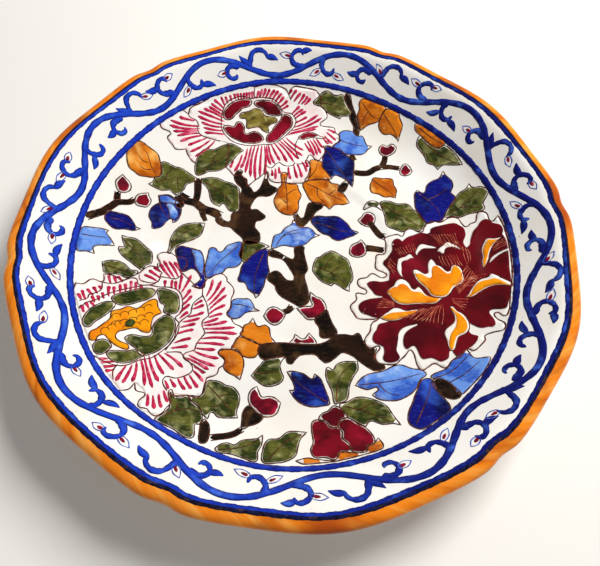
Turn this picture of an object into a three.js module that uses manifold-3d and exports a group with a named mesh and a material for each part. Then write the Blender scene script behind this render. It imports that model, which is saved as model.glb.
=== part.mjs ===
// A shallow hand painted ceramic plate, in millimetres, +Z up, standing on its foot ring at z = 0.
// The clay body and its foot ring carry a white glaze in three fields. On the face glaze lie the
// enamels: an ochre band over the lobed lip, two cobalt lines, a cobalt scroll in the border, and in
// the well three large flowers with leaves and branches, each painted field a solid of its own.

import * as THREE from 'three';
import { mergeVertices } from 'three/addons/utils/BufferGeometryUtils.js';
import Module from 'manifold-3d';

// Driving dimensions
const LIP_RADIUS = 124;            // mean radius of the lobed lip
const FLOOR_HEIGHT = 8.5;          // glazed floor of the well above the table
const WELL_DEPTH = 1;              // the middle of the floor lies this much lower
const WELL_RADIUS = 42;            // flat middle of the floor
const FLOOR_INNER = 48;            // end of the soft step round the middle
const FLOOR_RADIUS = 72;           // here the floor turns up into the wall
const LINE_RADIUS = 100;           // middle of the inner cobalt line
const LINE_WIDTH = 2.3;
const WALL_RISE = 10;              // from the floor to the inner cobalt line
const FLANGE_SLOPE = 0.7;          // rise over run of the border
const SHOULDER_RADIUS = 113.5;     // the border starts to roll over here
const CREST_RADIUS = 119.5;        // highest circle of the lip
const CREST_ROLL = 2.2;            // rise from the shoulder to the crest, on the face and on the back
const RIM_LINE_INNER = 117;        // the rim line runs from here nearly to the crest
const WALL_THICKNESS = 5;          // clay and glaze together
const FOOT_HEIGHT = 3.5;
const FOOT_INNER = 46.8;
const FOOT_OUTER = 54.2;
const FOOT_EDGE = 1.6;             // how far each side of the foot leans in at the table
const FOOT_ROUND = 0.6;            // height of the rounded standing edges
const GLAZE = 0.4;
const PAINT = 0.25;
const GAP = 0.05;                  // clearance between layers that lie on each other
const SIDE_GAP = 0.3;              // clearance between painted fields that lie side by side

// Edge of the lip below its crest: how far in from the lip's radius, and how far below the crest
const LIP_ROLL = [2.2, 0.3];
const LIP_EDGE = [0.6, 1.3];
const LIP_WAIST = 2.7;             // depth of the widest circle below the crest
const LIP_RETURN = [0.8, 0.5];     // how far in from the lip's radius, and above the back
const BAND_REACH = 3.2;            // the ochre band ends this far in, under the lip

// Lobed lip: six wide lobes, with a narrow notch between twin bumps in each space
const LOBES = 6;
const NOTCH_ANGLE = 10.7;          // degrees
const LOBE_SWING = 0.75;
const NOTCH_DEPTH = 1.35;
const NOTCH_WIDTH = 2.6;           // degrees
const LIFT_PER_SWING = 0.38;       // the crest rises with the lobes

// Border scroll: a cobalt vine in ten waves with four curled tendrils and four leaves in each
const VINE_PEAKS = [5.5, 42.5, 79, 117, 151.5, 185.5, 222, 260.5, 297.5, 330.5];   // degrees
const VINE_RADIUS = 108.95;
const VINE_SWING = 5.35;
const VINE_WIDTH = 1.8;
const TENDRIL_TIP = 1.2;           // width at a tendril's end
const LEAF_WIDTH = 1.5;
const LEAF_BASE = 0.6;             // width at a leaf's base, as a share of its width
const LEAF_BELLY = 0.45;           // where a leaf is widest, as a share of its length

// How finely the solids are faceted
const TURN_STEPS = 60;
const VINE_STEPS = 7;              // in each wave
const TENDRIL_STEPS = 5;
const FLOOR_MIDDLE = 81;           // two more circles of facets on the curved wall
const WALL_MIDDLE = 90;
const BACK_MIDDLE = 86;            // and one on its back
const TALL = 60;                   // height of the cutters that stamp painted shapes

const wasm = await Module();
wasm.setup();

const radians = THREE.MathUtils.degToRad;
const lerp = THREE.MathUtils.lerp;

// Painted fields of the well, each a closed outline of "x,y" places
const FIELDS = {
  olive_leaf: {
    left_upper: `-70,48 -67.4,48.5 -63.3,47 -60,46.5 -56.9,44.5 -53.7,42.2 -51.5,40.4 -53,38.5 -56.2,36.5
      -57,33.5 -58.7,31.3 -60.3,29.7 -62.4,31.3 -63.7,32.6 -68.3,32.2 -74.6,34.7 -72.8,36.5 -72,39
      -69.6,40.4`,
    left_mid: `-81.9,4 -78.7,3.5 -76.5,3.5 -73.3,2 -70,-1 -66.9,-3.5 -66,-7.1 -66.2,-9.8 -68.3,-10.5
      -69.6,-13.7 -71.5,-12.5 -74.6,-10.3 -77.8,-8.2 -81.2,-5.3 -82.1,-2.3 -79.9,-2.1 -81,1.1`,
    left_low: `-87.4,-12.1 -84.6,-10.5 -81,-9.9 -77.8,-11.2 -74.6,-13.7 -71.5,-14.1 -72.4,-16.2 -76,-18
      -79.2,-16.9 -85.5,-17.1 -86.5,-14.8`,
    mid: `-44.2,14.2 -49.5,14 -54,12.8 -56.5,10.8 -59,5.8 -59.3,-0.5 -59.4,-3.5 -58.3,-3.9 -57,-0.7
      -53.7,1.9 -51.3,3.1 -48.1,4.9 -45.4,7.6`,
    rear: `-52,43 -53.5,48 -53,54 -50,59.5 -45.5,60 -38,64.5 -34,63.5 -30,60.5 -33,57 -35,53 -38,49
      -41,46.5 -46,45.5 -49,43.5`,
    center: `-49.5,40.1 -47.2,41.3 -44,42 -40.8,41.5 -37.2,39.9 -34.5,39.2 -31.7,37.6 -29.9,35.8 -29.5,32.2
      -29,23.5 -32.2,22.6 -34,23.5 -36.7,26.7 -38.5,24.7 -41.3,25.8 -43.5,29 -44.9,34 -47.2,37`,
    top_right: `4.8,91.5 7.1,94.2 9.8,96.7 12.5,97.1 16.2,95.1 20.3,95.3 21.2,93.3 23.5,89.2 25.7,86.9 23.9,85.1
      20.3,85.1 19.4,83.7 16.2,85.1 12.1,87.4 8.9,89.9`,
    right_top: `60.7,71.5 59.3,66.9 61.4,63.3 63.2,60.5 64.5,56.9 67.7,55.1 69.5,52.4 71.8,54.4 75.5,53.7
      80.9,52.6 78.2,57.8 75.5,61.5 72.3,64.2 70,63.3 66,66 63,69`,
    right_a: `72,25.4 72.7,28.1 77.3,35.8 79.1,38.1 82.3,39.9 83.6,42.2 85,39.9 88.6,39.2 91.6,36.3 90.9,33.5
      89.3,30.4 90,27.4 87.3,26.3 82.7,26 78.2,24.7 75.5,25.8`,
    right_b: `40.5,32.2 44.4,33.3 48.5,32 53.9,32 56.8,29 60,25.8 62.5,20.8 60.9,18.1 58.2,16.3 55,17.6
      52.3,16.3 50.7,15.4 47.1,16.7 43.5,18.5 42.5,24 41.2,28.5`,
    center_low: `8.5,-7.5 9.8,-1.6 12.1,-0.3 13.5,1.3 17.1,3.1 19.8,2 21.6,0.9 24.8,-1.4 26,-4.4 27.3,-11.2
      25.7,-14.8 25.7,-18 23.5,-17.1 20.7,-15.3 18.5,-14.4 17.5,-15.7 13,-13.7 9.4,-9.8`,
    calyx: `-24.9,5.8 -17.6,5.8 -14.9,4.9 -12.4,3.5 -17.6,0.8 -21.3,-3 -23.1,-5.7 -24.9,-4.4 -26.3,-1.6
      -25.8,1.1`,
    low_center: `-15.4,-61.1 -11.7,-55.9 -10.4,-54.1 -5.8,-52.7 -1.7,-51.8 -3.5,-55.5 -2.9,-58.6 -1.7,-61.4
      -3.5,-64.1 -8.5,-65.5 -13.1,-63.2`,
    low_left_a: `-34,-65.7 -32.6,-64.3 -28.5,-64.5 -25.8,-65.9 -22.2,-66.8 -19.5,-70 -19.2,-72.7 -19.9,-77.3
      -19.2,-79.8 -26.7,-80.2 -29.9,-78.2 -31,-81.4 -33.5,-79.1 -35.8,-75.9 -39.9,-72.3 -35.4,-71.4
      -34,-68.2`,
    low_left_b: `-50.6,-83.6 -48.1,-80.9 -46.5,-77.3 -48.3,-71.4 -47.6,-69.5 -45.8,-72.3 -43.1,-72.7 -40.8,-71.6
      -38.1,-74.5 -34.9,-76.8 -33.1,-80.9 -33.8,-84.1 -35.4,-84.1 -35.6,-90.5 -43.5,-87.3 -50.6,-84.5`,
    bottom_a: `-25.8,-94.8 -24,-91.8 -21.3,-91.1 -19,-91.8 -16.3,-89.5 -10.4,-88.2 -8.5,-86.4 -8.5,-90.9
      -9.7,-94.1 -9.9,-98.2 -14.5,-97.3 -19.5,-95.9`,
    bottom_b: `-7.2,-98.4 -7.9,-93.2 -6.3,-88.6 -2.2,-87.7 1.6,-84.5 8.9,-84.3 6.6,-87.3 5.7,-90.9 4.8,-95
      0.7,-97.7 -2,-98.3`,
    low_a: `20.7,-53.9 23.5,-52.7 29.4,-52.3 29.6,-55.9 28,-58.6 26.2,-62.7 25.5,-68.2 24.4,-70 21.6,-70.9
      20,-71.4 18.7,-65.9 16.2,-60.5 16.2,-55.9 17.1,-55.5 18.9,-56.6`,
    low_b: `22.1,-71.4 24.8,-70.5 28.9,-68.2 33,-68 38,-69.5 41.2,-71.4 43.5,-75.5 46.2,-80.2 43.5,-79.5
      38.9,-79.8 34.4,-78.4 32.5,-80.9 29.8,-79.5 25.3,-76.8 22.1,-72.7`,
  },
  navy_leaf: {
    left_split: `-69,29 -66,29.7 -63.3,29.5 -59.2,26.3 -56.7,22.2 -56.7,17.6 -57.8,14.5 -59.6,13.5 -60.3,15.6
      -62.4,14.5 -64.6,10.8 -67.4,9.5 -69,9.9 -69.6,13 -71.5,16.3 -71.5,20.4 -70,23 -67.8,25 -68,27.2`,
    left: `-90,15.4 -87.8,15.4 -83.3,15.6 -80.5,14.7 -77.8,11.7 -76.5,9.7 -74.2,9 -76.9,7.6 -81,7.6
      -85.5,6.7 -88.3,8.1 -90.5,10.8`,
    center_right: `6.6,20.1 8.9,22.6 13.5,22.6 18,23.1 20.7,22.4 24.4,19 26.6,15.8 29.8,14.5 27.5,12.4 24.4,11
      20.3,9 17.5,9.9 15.7,11.5 12.5,12.6 9.4,15.4`,
    upper: `11.2,66.7 13.5,66 17.1,65.8 20.7,63.7 23.5,61 27.1,57.8 27.1,49.5 27.1,45.8 26.6,40.6 24.4,43.5
      22.5,45.4 18,47.6 16,45.4 13.5,49 11,52.6 11,54.2 11.2,59.2 12.1,62.8`,
    right: `59.1,41 62.3,39.5 64.1,44 66.8,46.5 70,47.6 72,51.3 73.2,48.8 75.9,45.4 76.4,42.2 75.5,39
      77.3,36.3 76.8,33.5 73.6,29.9 71.8,25.8 70,23.1 66.8,22.4 62.7,21.3 58.2,28.5 57.5,33.1
      57.7,38.5`,
    center: `-14.9,2 -12.6,1.5 -12.9,-2.5 -12.2,-7.1 -11.5,-10.7 -12.9,-13.9 -13.5,-18 -15.4,-22.5
      -16.7,-24.1 -17.6,-22.1 -20.4,-19.8 -22.2,-16.6 -25.4,-15.7 -24.9,-11.6 -24.2,-7.1 -21.3,-3
      -18.1,0.6`,
    left_inner: `-56,-0.7 -53.7,0.6 -51.3,0.2 -46.7,-0.7 -44.5,-1.6 -42.6,-4.8 -41.5,-9.8 -40.4,-16.2 -40.4,-20.3
      -42.2,-21.4 -45.8,-20.3 -43.1,-17.5 -42.6,-15.3 -46.7,-11.2 -51.3,-13 -53.7,-8.5 -55.5,-3.9`,
    low: `-0.4,-58.6 2.1,-58.2 6.6,-59.1 10.3,-61.1 11.2,-58.9 13.9,-60.9 15.7,-65 18,-71.4 16.2,-72.3
      11.2,-73.2 6.6,-72.3 3,-69.5 1,-66.6 3,-66.4 2.3,-63.2`,
    low_right: `55.9,-60 58.6,-58.6 60.5,-59.5 62.3,-65 65.5,-73.6 59.1,-79 54,-82.3 51.6,-81.8 49.4,-79.5
      49.4,-75.5 51.6,-70 53.9,-64.5`,
  },
  sky_leaf: {
    left: `-98.3,2 -93.3,4.5 -90.5,5.1 -87.8,4.9 -88.5,3.5 -86,0.6 -84,-2.3 -87.4,-3 -92.1,-5.3 -91.2,-8.9
      -94.6,-8.9 -97.8,-9.8`,
    center: `-1.7,19.5 -2.6,17.2 -5.8,14.5 -7.6,11.5 -10.4,9.9 -11.3,5.8 -11.5,2.6 -9.5,3.1 -5.8,4.7 -0.8,4
      0.7,4.2 4.8,6.3 7.5,9.5 11.4,11.7 9.4,12 7.5,14.5 5.3,15.6 0.7,15.8`,
    upper: `19.1,74.9 21.6,76.9 27.1,76.2 28.5,74 31.6,73.7 33.9,68.5 36.6,67.8 34.4,65.5 32.5,62.8
      29.4,61.7 22.1,62.1 19.8,64.6 16.2,66 17.5,68.7 19.8,70.1`,
    center_left: `-25.8,4.9 -30.4,4 -32.6,2.6 -34,-0.1 -35.8,-0.8 -38.1,1.3 -40.4,0.8 -40.8,-2.5 -41.3,-11.6
      -39.5,-15.3 -35.8,-13 -33.1,-12.1 -31.3,-9.4 -27.6,-8.7 -25.1,-6.2 -24.9,-3`,
    small: `-27.2,-26.4 -25.4,-25 -22.2,-24.8 -19.5,-24.8 -17.6,-27.1 -16.7,-29.1 -14.2,-30.4 -17.6,-30.7
      -20.4,-31.6 -22.6,-33.9 -25.8,-35 -28.8,-33 -27.6,-29.8`,
    low_a: `28.5,-63 30.7,-60 33.9,-57.7 40.3,-55.9 44.4,-53.6 48,-52.7 52.5,-54.1 56.8,-54.8 58.4,-56.8
      55.9,-59.1 53.2,-64.1 49.4,-67.3 45.7,-68.9 41.2,-69.1 38,-68.4 35.5,-66.8 38,-63.6 33.5,-64.5`,
    low_b: `60.2,-58.2 61.8,-56.4 66.8,-54.1 69.5,-50.5 75.9,-45.3 78.2,-49.8 83.9,-51 71.4,-66.8 69.1,-66.4
      68.2,-62.7 65,-59.5`,
  },
  orange_leaf: {
    left: `-85.5,49.5 -86,46.7 -84.4,40.8 -81.9,39.5 -79.2,38.1 -76.9,38.3 -72.4,39 -69.6,40.8 -69.6,45
      -71,49 -72.4,52 -76.9,54.2 -79.5,55.4 -82,55`,
    center: `-9.5,47.2 -6.7,47.2 -6.3,41.7 -1.3,41 -0.4,38.1 1.2,34.5 0.1,30.8 0.1,25.8 -2.2,22.6 -6.3,22.6
      -9.5,24.5 -11,26.7 -12.2,30.8 -11,34.9 -10.6,38.1 -9,40.4`,
    pair_lower: `1.6,41.3 2.5,43.1 7.1,44.2 14.4,44.2 16.2,42.6 19.8,41.7 19.4,38.5 22.1,37 25.3,31.7 22.5,30.4
      18,29.9 15.5,27 13,29.2 8,30.4 5.7,32.2 3.5,36.3`,
    pair_upper: `4.6,56 6,56.9 10.3,56 11.2,52.6 14.4,48.1 16.2,45.4 14.4,44.6 7.1,44.6 2.7,43.6 3.9,46.3
      4.8,51.7`,
    top_a: `30.3,92.8 29.1,91 29.4,88.3 28.5,85.5 29.4,81.5 30.5,77.1 34.4,79.9 39.8,81.7 41.6,85.1 43,87.6
      36.6,90.8 33,92.4`,
    top_b: `43.5,86.9 40.7,83.7 39.8,79.2 40.7,76.5 43,74.4 46.2,74.2 49.4,71.5 50,69.9 50.7,73.3 51.9,77.8
      50.3,81.9 49.8,83.9`,
    right_top: `58.6,77.8 58.2,75.1 60.9,71.7 63.6,68.3 67,65 70,63.5 72.3,64.6 73,66 66,72.8`,
    small: `37.1,47.2 41.6,47.2 46.6,47 47.5,43.1 48.7,40.4 48,35.4 45.7,36 42.5,35.6 39.8,37.2 36.2,38.1
      35.5,42.6 36.6,45.8`,
  },
  branch: {
    trunk: `-31.3,47.6 -29.2,47.2 -29.5,44 -26.7,42.2 -26,39 -24,37 -22.2,34.9 -19.5,38.1 -18.5,40.8 -17.7,45 -16.9,47.4 -15.7,44.5 -15.4,40.8 -11.3,38.1 -11.3,36.3 -14.9,33.1 -20.4,32.2 -22.6,28.5 -23.1,24.5
      -20.4,24.7 -17.6,22.6 -15.6,20.4 -18.1,18.1 -19.9,17.6 -20.1,14 -17.6,10.4 -17.6,5.8 -20.4,4.5
      -24,4.5 -25.8,7.6 -29.9,11.3 -32.2,13.3 -35.8,13.8 -38.5,15.4 -39.5,17.6 -38.1,19.9 -35.8,17.2
      -32.6,16.7 -32.2,20.4 -31.3,22.2 -29,23.1 -29.2,32.2 -28.5,35.8 -31.3,39 -33.1,43.1`,
    center: `-0.2,4 3.9,4.5 3.9,2 5.7,-5.3 6.2,-7.8 4.8,-11.2 6.2,-16.2 7.1,-20.7 7.1,-24.8 3.5,-27.1
      0.7,-25.7 -4.5,-23 -7.6,-19.8 -8.5,-17.1 -12.2,-13.9 -11.3,-11.2 -8,-9.4 -3,-13.9 0.2,-13.4
      -2,-8 -6,-3 -12,-1.4 -12.2,2 -8.5,1.1 -4,-1.5 -0.6,-2.4`,
    lower: `-13.5,-48.9 -12.6,-47.1 -5.8,-45.5 0.1,-45.3 10.7,-45.5 16.2,-43.5 19.8,-40.3 24.4,-40
      27.1,-40.3 29.8,-39.1 31.6,-42.1 33.9,-45.7 37.5,-45.5 36.6,-48.5 37.1,-51.6 41.2,-54.1
      37.5,-55.9 34.4,-55 29.8,-51.8 27.1,-49.8 23,-48.5 20.3,-50.7 16.2,-53.7 13.9,-52.5 11.2,-50.3
      5.3,-50.7 3,-52.7 1.2,-55 -0.6,-54.5 -2,-51.8 -10.8,-53.6 -13.1,-51.4`,
  },
  flower: {
    left: `-94,-29.8 -94.2,-26.6 -91.9,-25.7 -90.1,-22.8 -85.1,-22.1 -85,-18.4 -77,-19.5 -71,-15.3
      -66.9,-11.2 -62.4,-11.6 -64,-5.5 -62,-3.5 -58,-3.5 -54.5,-5.5 -51,-6 -49.6,-9 -51,-14 -47,-17.5
      -42,-21 -39,-15 -33.5,-12.5 -30.8,-14.4 -26.7,-21.6 -27.6,-25.3 -28.8,-33 -24.9,-37.5
      -20.6,-40.7 -24,-46.6 -24.9,-49.6 -29.9,-50.3 -27.2,-54.5 -29.9,-61.4 -33.8,-63.2 -34.9,-70.5
      -40.8,-71.6 -48.3,-71.4 -46.5,-75.9 -49,-81.4 -52.8,-81.8 -57.8,-79.5 -56.9,-73.2 -61.9,-68.6
      -65.5,-72.5 -70,-68 -79,-57.5 -87.5,-43`,
    rear: `-53.7,50.5 -59.2,58 -64.2,56.9 -68.7,61.5 -67.1,64.2 -71.5,65.5 -71.6,67 -66,72.6 -59.6,76
      -58.4,78.4 -50.5,84 -42,88.6 -35,91.6 -26.7,94.4 -19,96.2 -13,97 -8.5,94.6 -6.4,97.8 0,98 6,97.3
      9,90 12.5,84.5 9.5,79.5 16.5,78.5 19.5,74 16,66 12.2,62 9,56 4.5,60 5,52 3,43 -3,41.8 -11.5,41.6
      -16.4,47.5 -20,44 -26,37.5 -30,44.5 -33,43.5 -38,49.5 -38,64.5 -51.5,66.9 -51.5,60`,
    dark: `42.3,11.7 45.7,13.1 48.5,13.8 50.7,12.9 52.3,16.3 55,17.4 58.2,16 60.7,16.3 61.4,18.5 62.7,20.8
      65.9,22.6 69.5,22.2 73.2,24.5 75.5,25.1 78.2,24 79.3,21.7 81.4,19.2 83.6,20.8 85.7,21.3
      86.4,24.9 87.7,26.3 90.5,24.9 92.3,19.9 95,22.2 96.4,18 97.8,10 98.3,0 97.8,-10 96.2,-18
      94.5,-27.5 92.5,-30.7 90,-28.2 88.6,-28.9 89.5,-31.6 91.8,-34.4 90.9,-37.5 87.3,-38 83.6,-39.4
      83.6,-41.2 81.8,-43.5 79.5,-45.7 78,-46.2 76.4,-45 72.7,-48.9 69.5,-50.3 66.4,-53.9 62.3,-51.6
      59.1,-53.6 56.8,-54.8 55,-52.7 52.7,-45.7 49.8,-48.5 48,-50.3 45.7,-52.5 41.6,-52.8 38,-52.1
      37.1,-48.9 38.9,-44.8 34.4,-45.7 32.5,-42.1 34.8,-38 35.7,-33.9 38.9,-31.2 36.6,-31.9 29.8,-31.6
      28,-29.4 26.2,-25.7 28.9,-22.1 28.9,-18.9 33,-18.9 33.5,-17.1 29.8,-14.8 29.8,-11.6 33.5,-10.3
      36.2,-8 40.7,-10 43,-8.5 41.6,-7.1 38,-5.3 38,-0.3 38.5,2.2 42.1,3.1 42.8,9.5`,
  },
};

const COLOURS = {
  olive_leaf: 0x545e2c,
  navy_leaf: 0x161a86,
  sky_leaf: 0x6898e2,
  orange_leaf: 0xd67c20,
  branch: 0x2c1810,
  flower: 0xe4b4b8,
};
const DARK_FLOWER = 0x7a0e20;

// ---------- the plate's section ----------

function faceHeight(r) {
  const line = FLOOR_HEIGHT + WALL_RISE;
  const shoulder = line + (SHOULDER_RADIUS - LINE_RADIUS) * FLANGE_SLOPE;
  if (r <= FLOOR_RADIUS) {
    return FLOOR_HEIGHT - WELL_DEPTH * (1 - THREE.MathUtils.smoothstep(r, WELL_RADIUS, FLOOR_INNER));
  }
  if (r <= LINE_RADIUS) {
    return FLOOR_HEIGHT + WALL_RISE * ((r - FLOOR_RADIUS) / (LINE_RADIUS - FLOOR_RADIUS)) ** 2;
  }
  if (r <= SHOULDER_RADIUS) {
    return line + (r - LINE_RADIUS) * FLANGE_SLOPE;
  }
  const left = (CREST_RADIUS - r) / (CREST_RADIUS - SHOULDER_RADIUS);
  return shoulder + CREST_ROLL * (1 - left ** 2);
}

function backHeight(r) {
  if (r <= FLOOR_RADIUS) {
    return FOOT_HEIGHT;
  }
  if (r <= SHOULDER_RADIUS) {
    return faceHeight(r) - WALL_THICKNESS;
  }
  const share = (r - SHOULDER_RADIUS) / (LIP_RADIUS - SHOULDER_RADIUS);
  return faceHeight(SHOULDER_RADIUS) - WALL_THICKNESS + CREST_ROLL * Math.sin(share * Math.PI / 2);
}

const CREST_HEIGHT = faceHeight(CREST_RADIUS);
const LINE_INNER = LINE_RADIUS - LINE_WIDTH / 2;
const LINE_OUTER = LINE_RADIUS + LINE_WIDTH / 2;
const RIM_LINE_OUTER = CREST_RADIUS - 4 * GAP;
const BAND_TOP = CREST_RADIUS + 2 * GAP;
const BAND_FOOT = LIP_RADIUS - BAND_REACH;

const FLOOR_STATIONS = [0, WELL_RADIUS, FLOOR_INNER, FLOOR_RADIUS, FLOOR_MIDDLE, WALL_MIDDLE];
const FACE_STATIONS = [
  ...FLOOR_STATIONS, LINE_INNER, LINE_OUTER, SHOULDER_RADIUS, RIM_LINE_INNER, RIM_LINE_OUTER,
];
const BACK_STATIONS = [
  FOOT_OUTER + GLAZE, FLOOR_RADIUS, BACK_MIDDLE, LINE_RADIUS, SHOULDER_RADIUS, BAND_FOOT - 2 * GAP,
];

// Outside of the lip from the crest, over the edge and under it, drawn in by `inset`
function lipSection(inset) {
  const under = backHeight(BAND_FOOT);
  return [
    [BAND_TOP, CREST_HEIGHT - inset],
    [LIP_RADIUS - LIP_ROLL[0] - inset * 0.3, CREST_HEIGHT - LIP_ROLL[1] - inset],
    [LIP_RADIUS - LIP_EDGE[0] - inset * 0.8, CREST_HEIGHT - LIP_EDGE[1] - inset * 0.7],
    [LIP_RADIUS - inset, CREST_HEIGHT - LIP_WAIST],
    [LIP_RADIUS - LIP_RETURN[0] - inset * 0.8, under + LIP_RETURN[1] + inset * 0.8],
    [BAND_FOOT, under + inset],
  ];
}

const along = (stations, height, drop) => stations.map((r) => [r, height(r) + drop]);

// ---------- solids turned about the axis, with the lobed lip ----------

function lobe(angle) {
  const period = 360 / LOBES;
  const turn = (angle - NOTCH_ANGLE) / period;
  const fromNotch = (turn - Math.round(turn)) * period;
  const wave = LOBE_SWING * Math.cos(radians(fromNotch * 2 * LOBES));
  return wave - NOTCH_DEPTH * Math.exp(-((fromNotch / NOTCH_WIDTH) ** 2));
}

function onPlate(r, z, step) {
  const angle = NOTCH_ANGLE + step * 360 / TURN_STEPS;
  const share = THREE.MathUtils.smoothstep(r, LINE_OUTER, LIP_RADIUS);
  const swing = lobe(angle) * share;
  const reach = r + swing;
  return [reach * Math.cos(radians(angle)), reach * Math.sin(radians(angle)), z + swing * LIFT_PER_SWING];
}

// Turns a section, whose points run with the clay on their left, into a closed mesh.
// A section that starts and ends on the axis gives a disc, and any other one a ring.
// Every facet is split from its inner end outwards, so layers that follow each other never cross.
function turned(section) {
  const isDisc = section[0][0] === 0;
  const rings = isDisc ? section.slice(1, -1) : section;
  const positions = [];
  for (const [r, z] of rings) {
    for (let step = 0; step < TURN_STEPS; step += 1) {
      positions.push(...onPlate(r, z, step));
    }
  }
  const index = [];
  const at = (ring, step) => (ring % rings.length) * TURN_STEPS + (step % TURN_STEPS);
  const bands = isDisc ? rings.length - 1 : rings.length;
  for (let ring = 0; ring < bands; ring += 1) {
    const outward = rings[(ring + 1) % rings.length][0] > rings[ring][0];
    for (let step = 0; step < TURN_STEPS; step += 1) {
      const [a, b] = [at(ring, step), at(ring, step + 1)];
      const [c, d] = [at(ring + 1, step + 1), at(ring + 1, step)];
      index.push(...(outward ? [a, b, c, a, c, d] : [a, b, d, b, c, d]));
    }
  }
  if (isDisc) {
    const first = positions.length / 3;
    positions.push(0, 0, section[0][1], 0, 0, section.at(-1)[1]);
    for (let step = 0; step < TURN_STEPS; step += 1) {
      index.push(first, at(0, step + 1), at(0, step));
      index.push(first + 1, at(rings.length - 1, step), at(rings.length - 1, step + 1));
    }
  }
  const geometry = new THREE.BufferGeometry();
  geometry.setAttribute('position', new THREE.Float32BufferAttribute(positions, 3));
  geometry.setIndex(index);
  return geometry;
}

// ---------- painted shapes, stamped out of the layer that follows the face glaze ----------

function toSolid(geometry) {
  const bare = geometry.clone();
  bare.deleteAttribute('normal');
  bare.deleteAttribute('uv');
  const merged = mergeVertices(bare, 1e-5);
  return new wasm.Manifold(new wasm.Mesh({
    numProp: 3,
    vertProperties: merged.attributes.position.array,
    triVerts: Uint32Array.from(merged.index.array),
  }));
}

function toGeometry(solid) {
  const { vertProperties, triVerts, numProp } = solid.getMesh();
  const positions = [];
  for (let start = 0; start < vertProperties.length; start += numProp) {
    positions.push(vertProperties[start], vertProperties[start + 1], vertProperties[start + 2]);
  }
  const geometry = new THREE.BufferGeometry();
  geometry.setAttribute('position', new THREE.Float32BufferAttribute(positions, 3));
  geometry.setIndex(Array.from(triVerts));
  return geometry;
}

function paintLayer(stations) {
  const under = along(stations, faceHeight, GAP);
  const over = along(stations, faceHeight, GAP + PAINT).reverse();
  return turned([...under, ...over]);
}

const stamp = (shape) => toSolid(new THREE.ExtrudeGeometry(shape, { depth: TALL, bevelEnabled: false }));
const polar = ([angle, r]) => new THREE.Vector2(r * Math.cos(radians(angle)), r * Math.sin(radians(angle)));

// Both sides of a brush stroke along `points`, with a half width for each place along it
function strokeSides(points, halfWidth, closed) {
  const left = [];
  const right = [];
  points.forEach((point, i) => {
    const before = points[closed ? (i - 1 + points.length) % points.length : Math.max(i - 1, 0)];
    const after = points[closed ? (i + 1) % points.length : Math.min(i + 1, points.length - 1)];
    const normal = after.clone().sub(before).normalize();
    normal.set(-normal.y, normal.x).multiplyScalar(halfWidth(i / (points.length - 1)));
    left.push(point.clone().add(normal));
    right.push(point.clone().sub(normal));
  });
  return [left, right];
}

function vineShape() {
  const points = [];
  VINE_PEAKS.forEach((peak, i) => {
    const next = VINE_PEAKS[i + 1] ?? VINE_PEAKS[0] + 360;
    for (let step = 0; step < VINE_STEPS; step += 1) {
      const part = step / VINE_STEPS;
      points.push(polar([lerp(peak, next, part), VINE_RADIUS + VINE_SWING * Math.cos(2 * Math.PI * part)]));
    }
  });
  const [inside, outside] = strokeSides(points, () => VINE_WIDTH / 2, true);
  const shape = new THREE.Shape(outside);
  shape.holes.push(new THREE.Path(inside));
  return shape;
}

function tendrilShape(route) {
  const curve = new THREE.SplineCurve(route.map(polar));
  const width = (part) => lerp(VINE_WIDTH, TENDRIL_TIP, part);
  const [left, right] = strokeSides(curve.getPoints(TENDRIL_STEPS), (part) => width(part) / 2, false);
  return new THREE.Shape([...right, ...left.reverse()]);
}

function leafShape(base, tip) {
  const from = polar(base);
  const to = polar(tip);
  const side = to.clone().sub(from).normalize();
  side.set(-side.y, side.x).multiplyScalar(LEAF_WIDTH / 2);
  const middle = from.clone().lerp(to, LEAF_BELLY);
  const near = side.clone().multiplyScalar(LEAF_BASE);
  return new THREE.Shape([from.clone().sub(near), middle.clone().sub(side), to,
    middle.clone().add(side), from.clone().add(near)]);
}

// Tendrils and leaves of one wave, from its peak and the trough that follows
function scrollShapes(peak, trough) {
  return [
    tendrilShape([[peak + 6.4, 110.6], [peak + 6.5, 106.4], [peak + 4.4, 104.7], [peak + 2.8, 107]]),
    tendrilShape([[peak + 12.6, 106.2], [peak + 15.2, 109.6], [peak + 14.4, 113], [peak + 12, 113.4]]),
    tendrilShape([[trough + 8.2, 108.4], [trough + 7.4, 112.8], [trough + 5, 114.6], [trough + 3.2, 112]]),
    tendrilShape([[trough + 11, 110], [trough + 13.9, 108.4], [trough + 13.6, 105], [trough + 11.4, 104.4]]),
    leafShape([peak + 4.4, 105], [peak - 0.4, 105.4]),
    leafShape([peak + 15, 111], [peak + 18.6, 112.8]),
    leafShape([trough + 8, 110], [trough + 10.2, 113.6]),
    leafShape([trough + 14.2, 107], [trough + 17.6, 107.8]),
  ];
}

function scrollGeometry() {
  const bed = toSolid(paintLayer([LINE_OUTER, SHOULDER_RADIUS, RIM_LINE_INNER]));
  let scroll = stamp(vineShape());
  VINE_PEAKS.forEach((peak, i) => {
    const next = VINE_PEAKS[i + 1] ?? VINE_PEAKS[0] + 360;
    for (const shape of scrollShapes(peak, (peak + next) / 2)) {
      scroll = scroll.add(stamp(shape));
    }
  });
  return toGeometry(bed.intersect(scroll));
}

function readOutline(text) {
  const places = text.trim().split(/\s+/).map((word) => new THREE.Vector2(...word.split(',').map(Number)));
  return THREE.ShapeUtils.isClockWise(places) ? places.reverse() : places;
}

// The outline drawn in by `inset` along the mean normal of each corner
function drawnIn(places, inset) {
  return places.map((place, i) => {
    const before = places[(i - 1 + places.length) % places.length];
    const after = places[(i + 1) % places.length];
    const way = after.clone().sub(before).normalize();
    return place.clone().add(new THREE.Vector2(-way.y, way.x).multiplyScalar(inset));
  });
}

function largestBody(solid) {
  return solid.decompose().reduce((best, body) => (body.volume() > best.volume() ? body : best));
}

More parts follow.
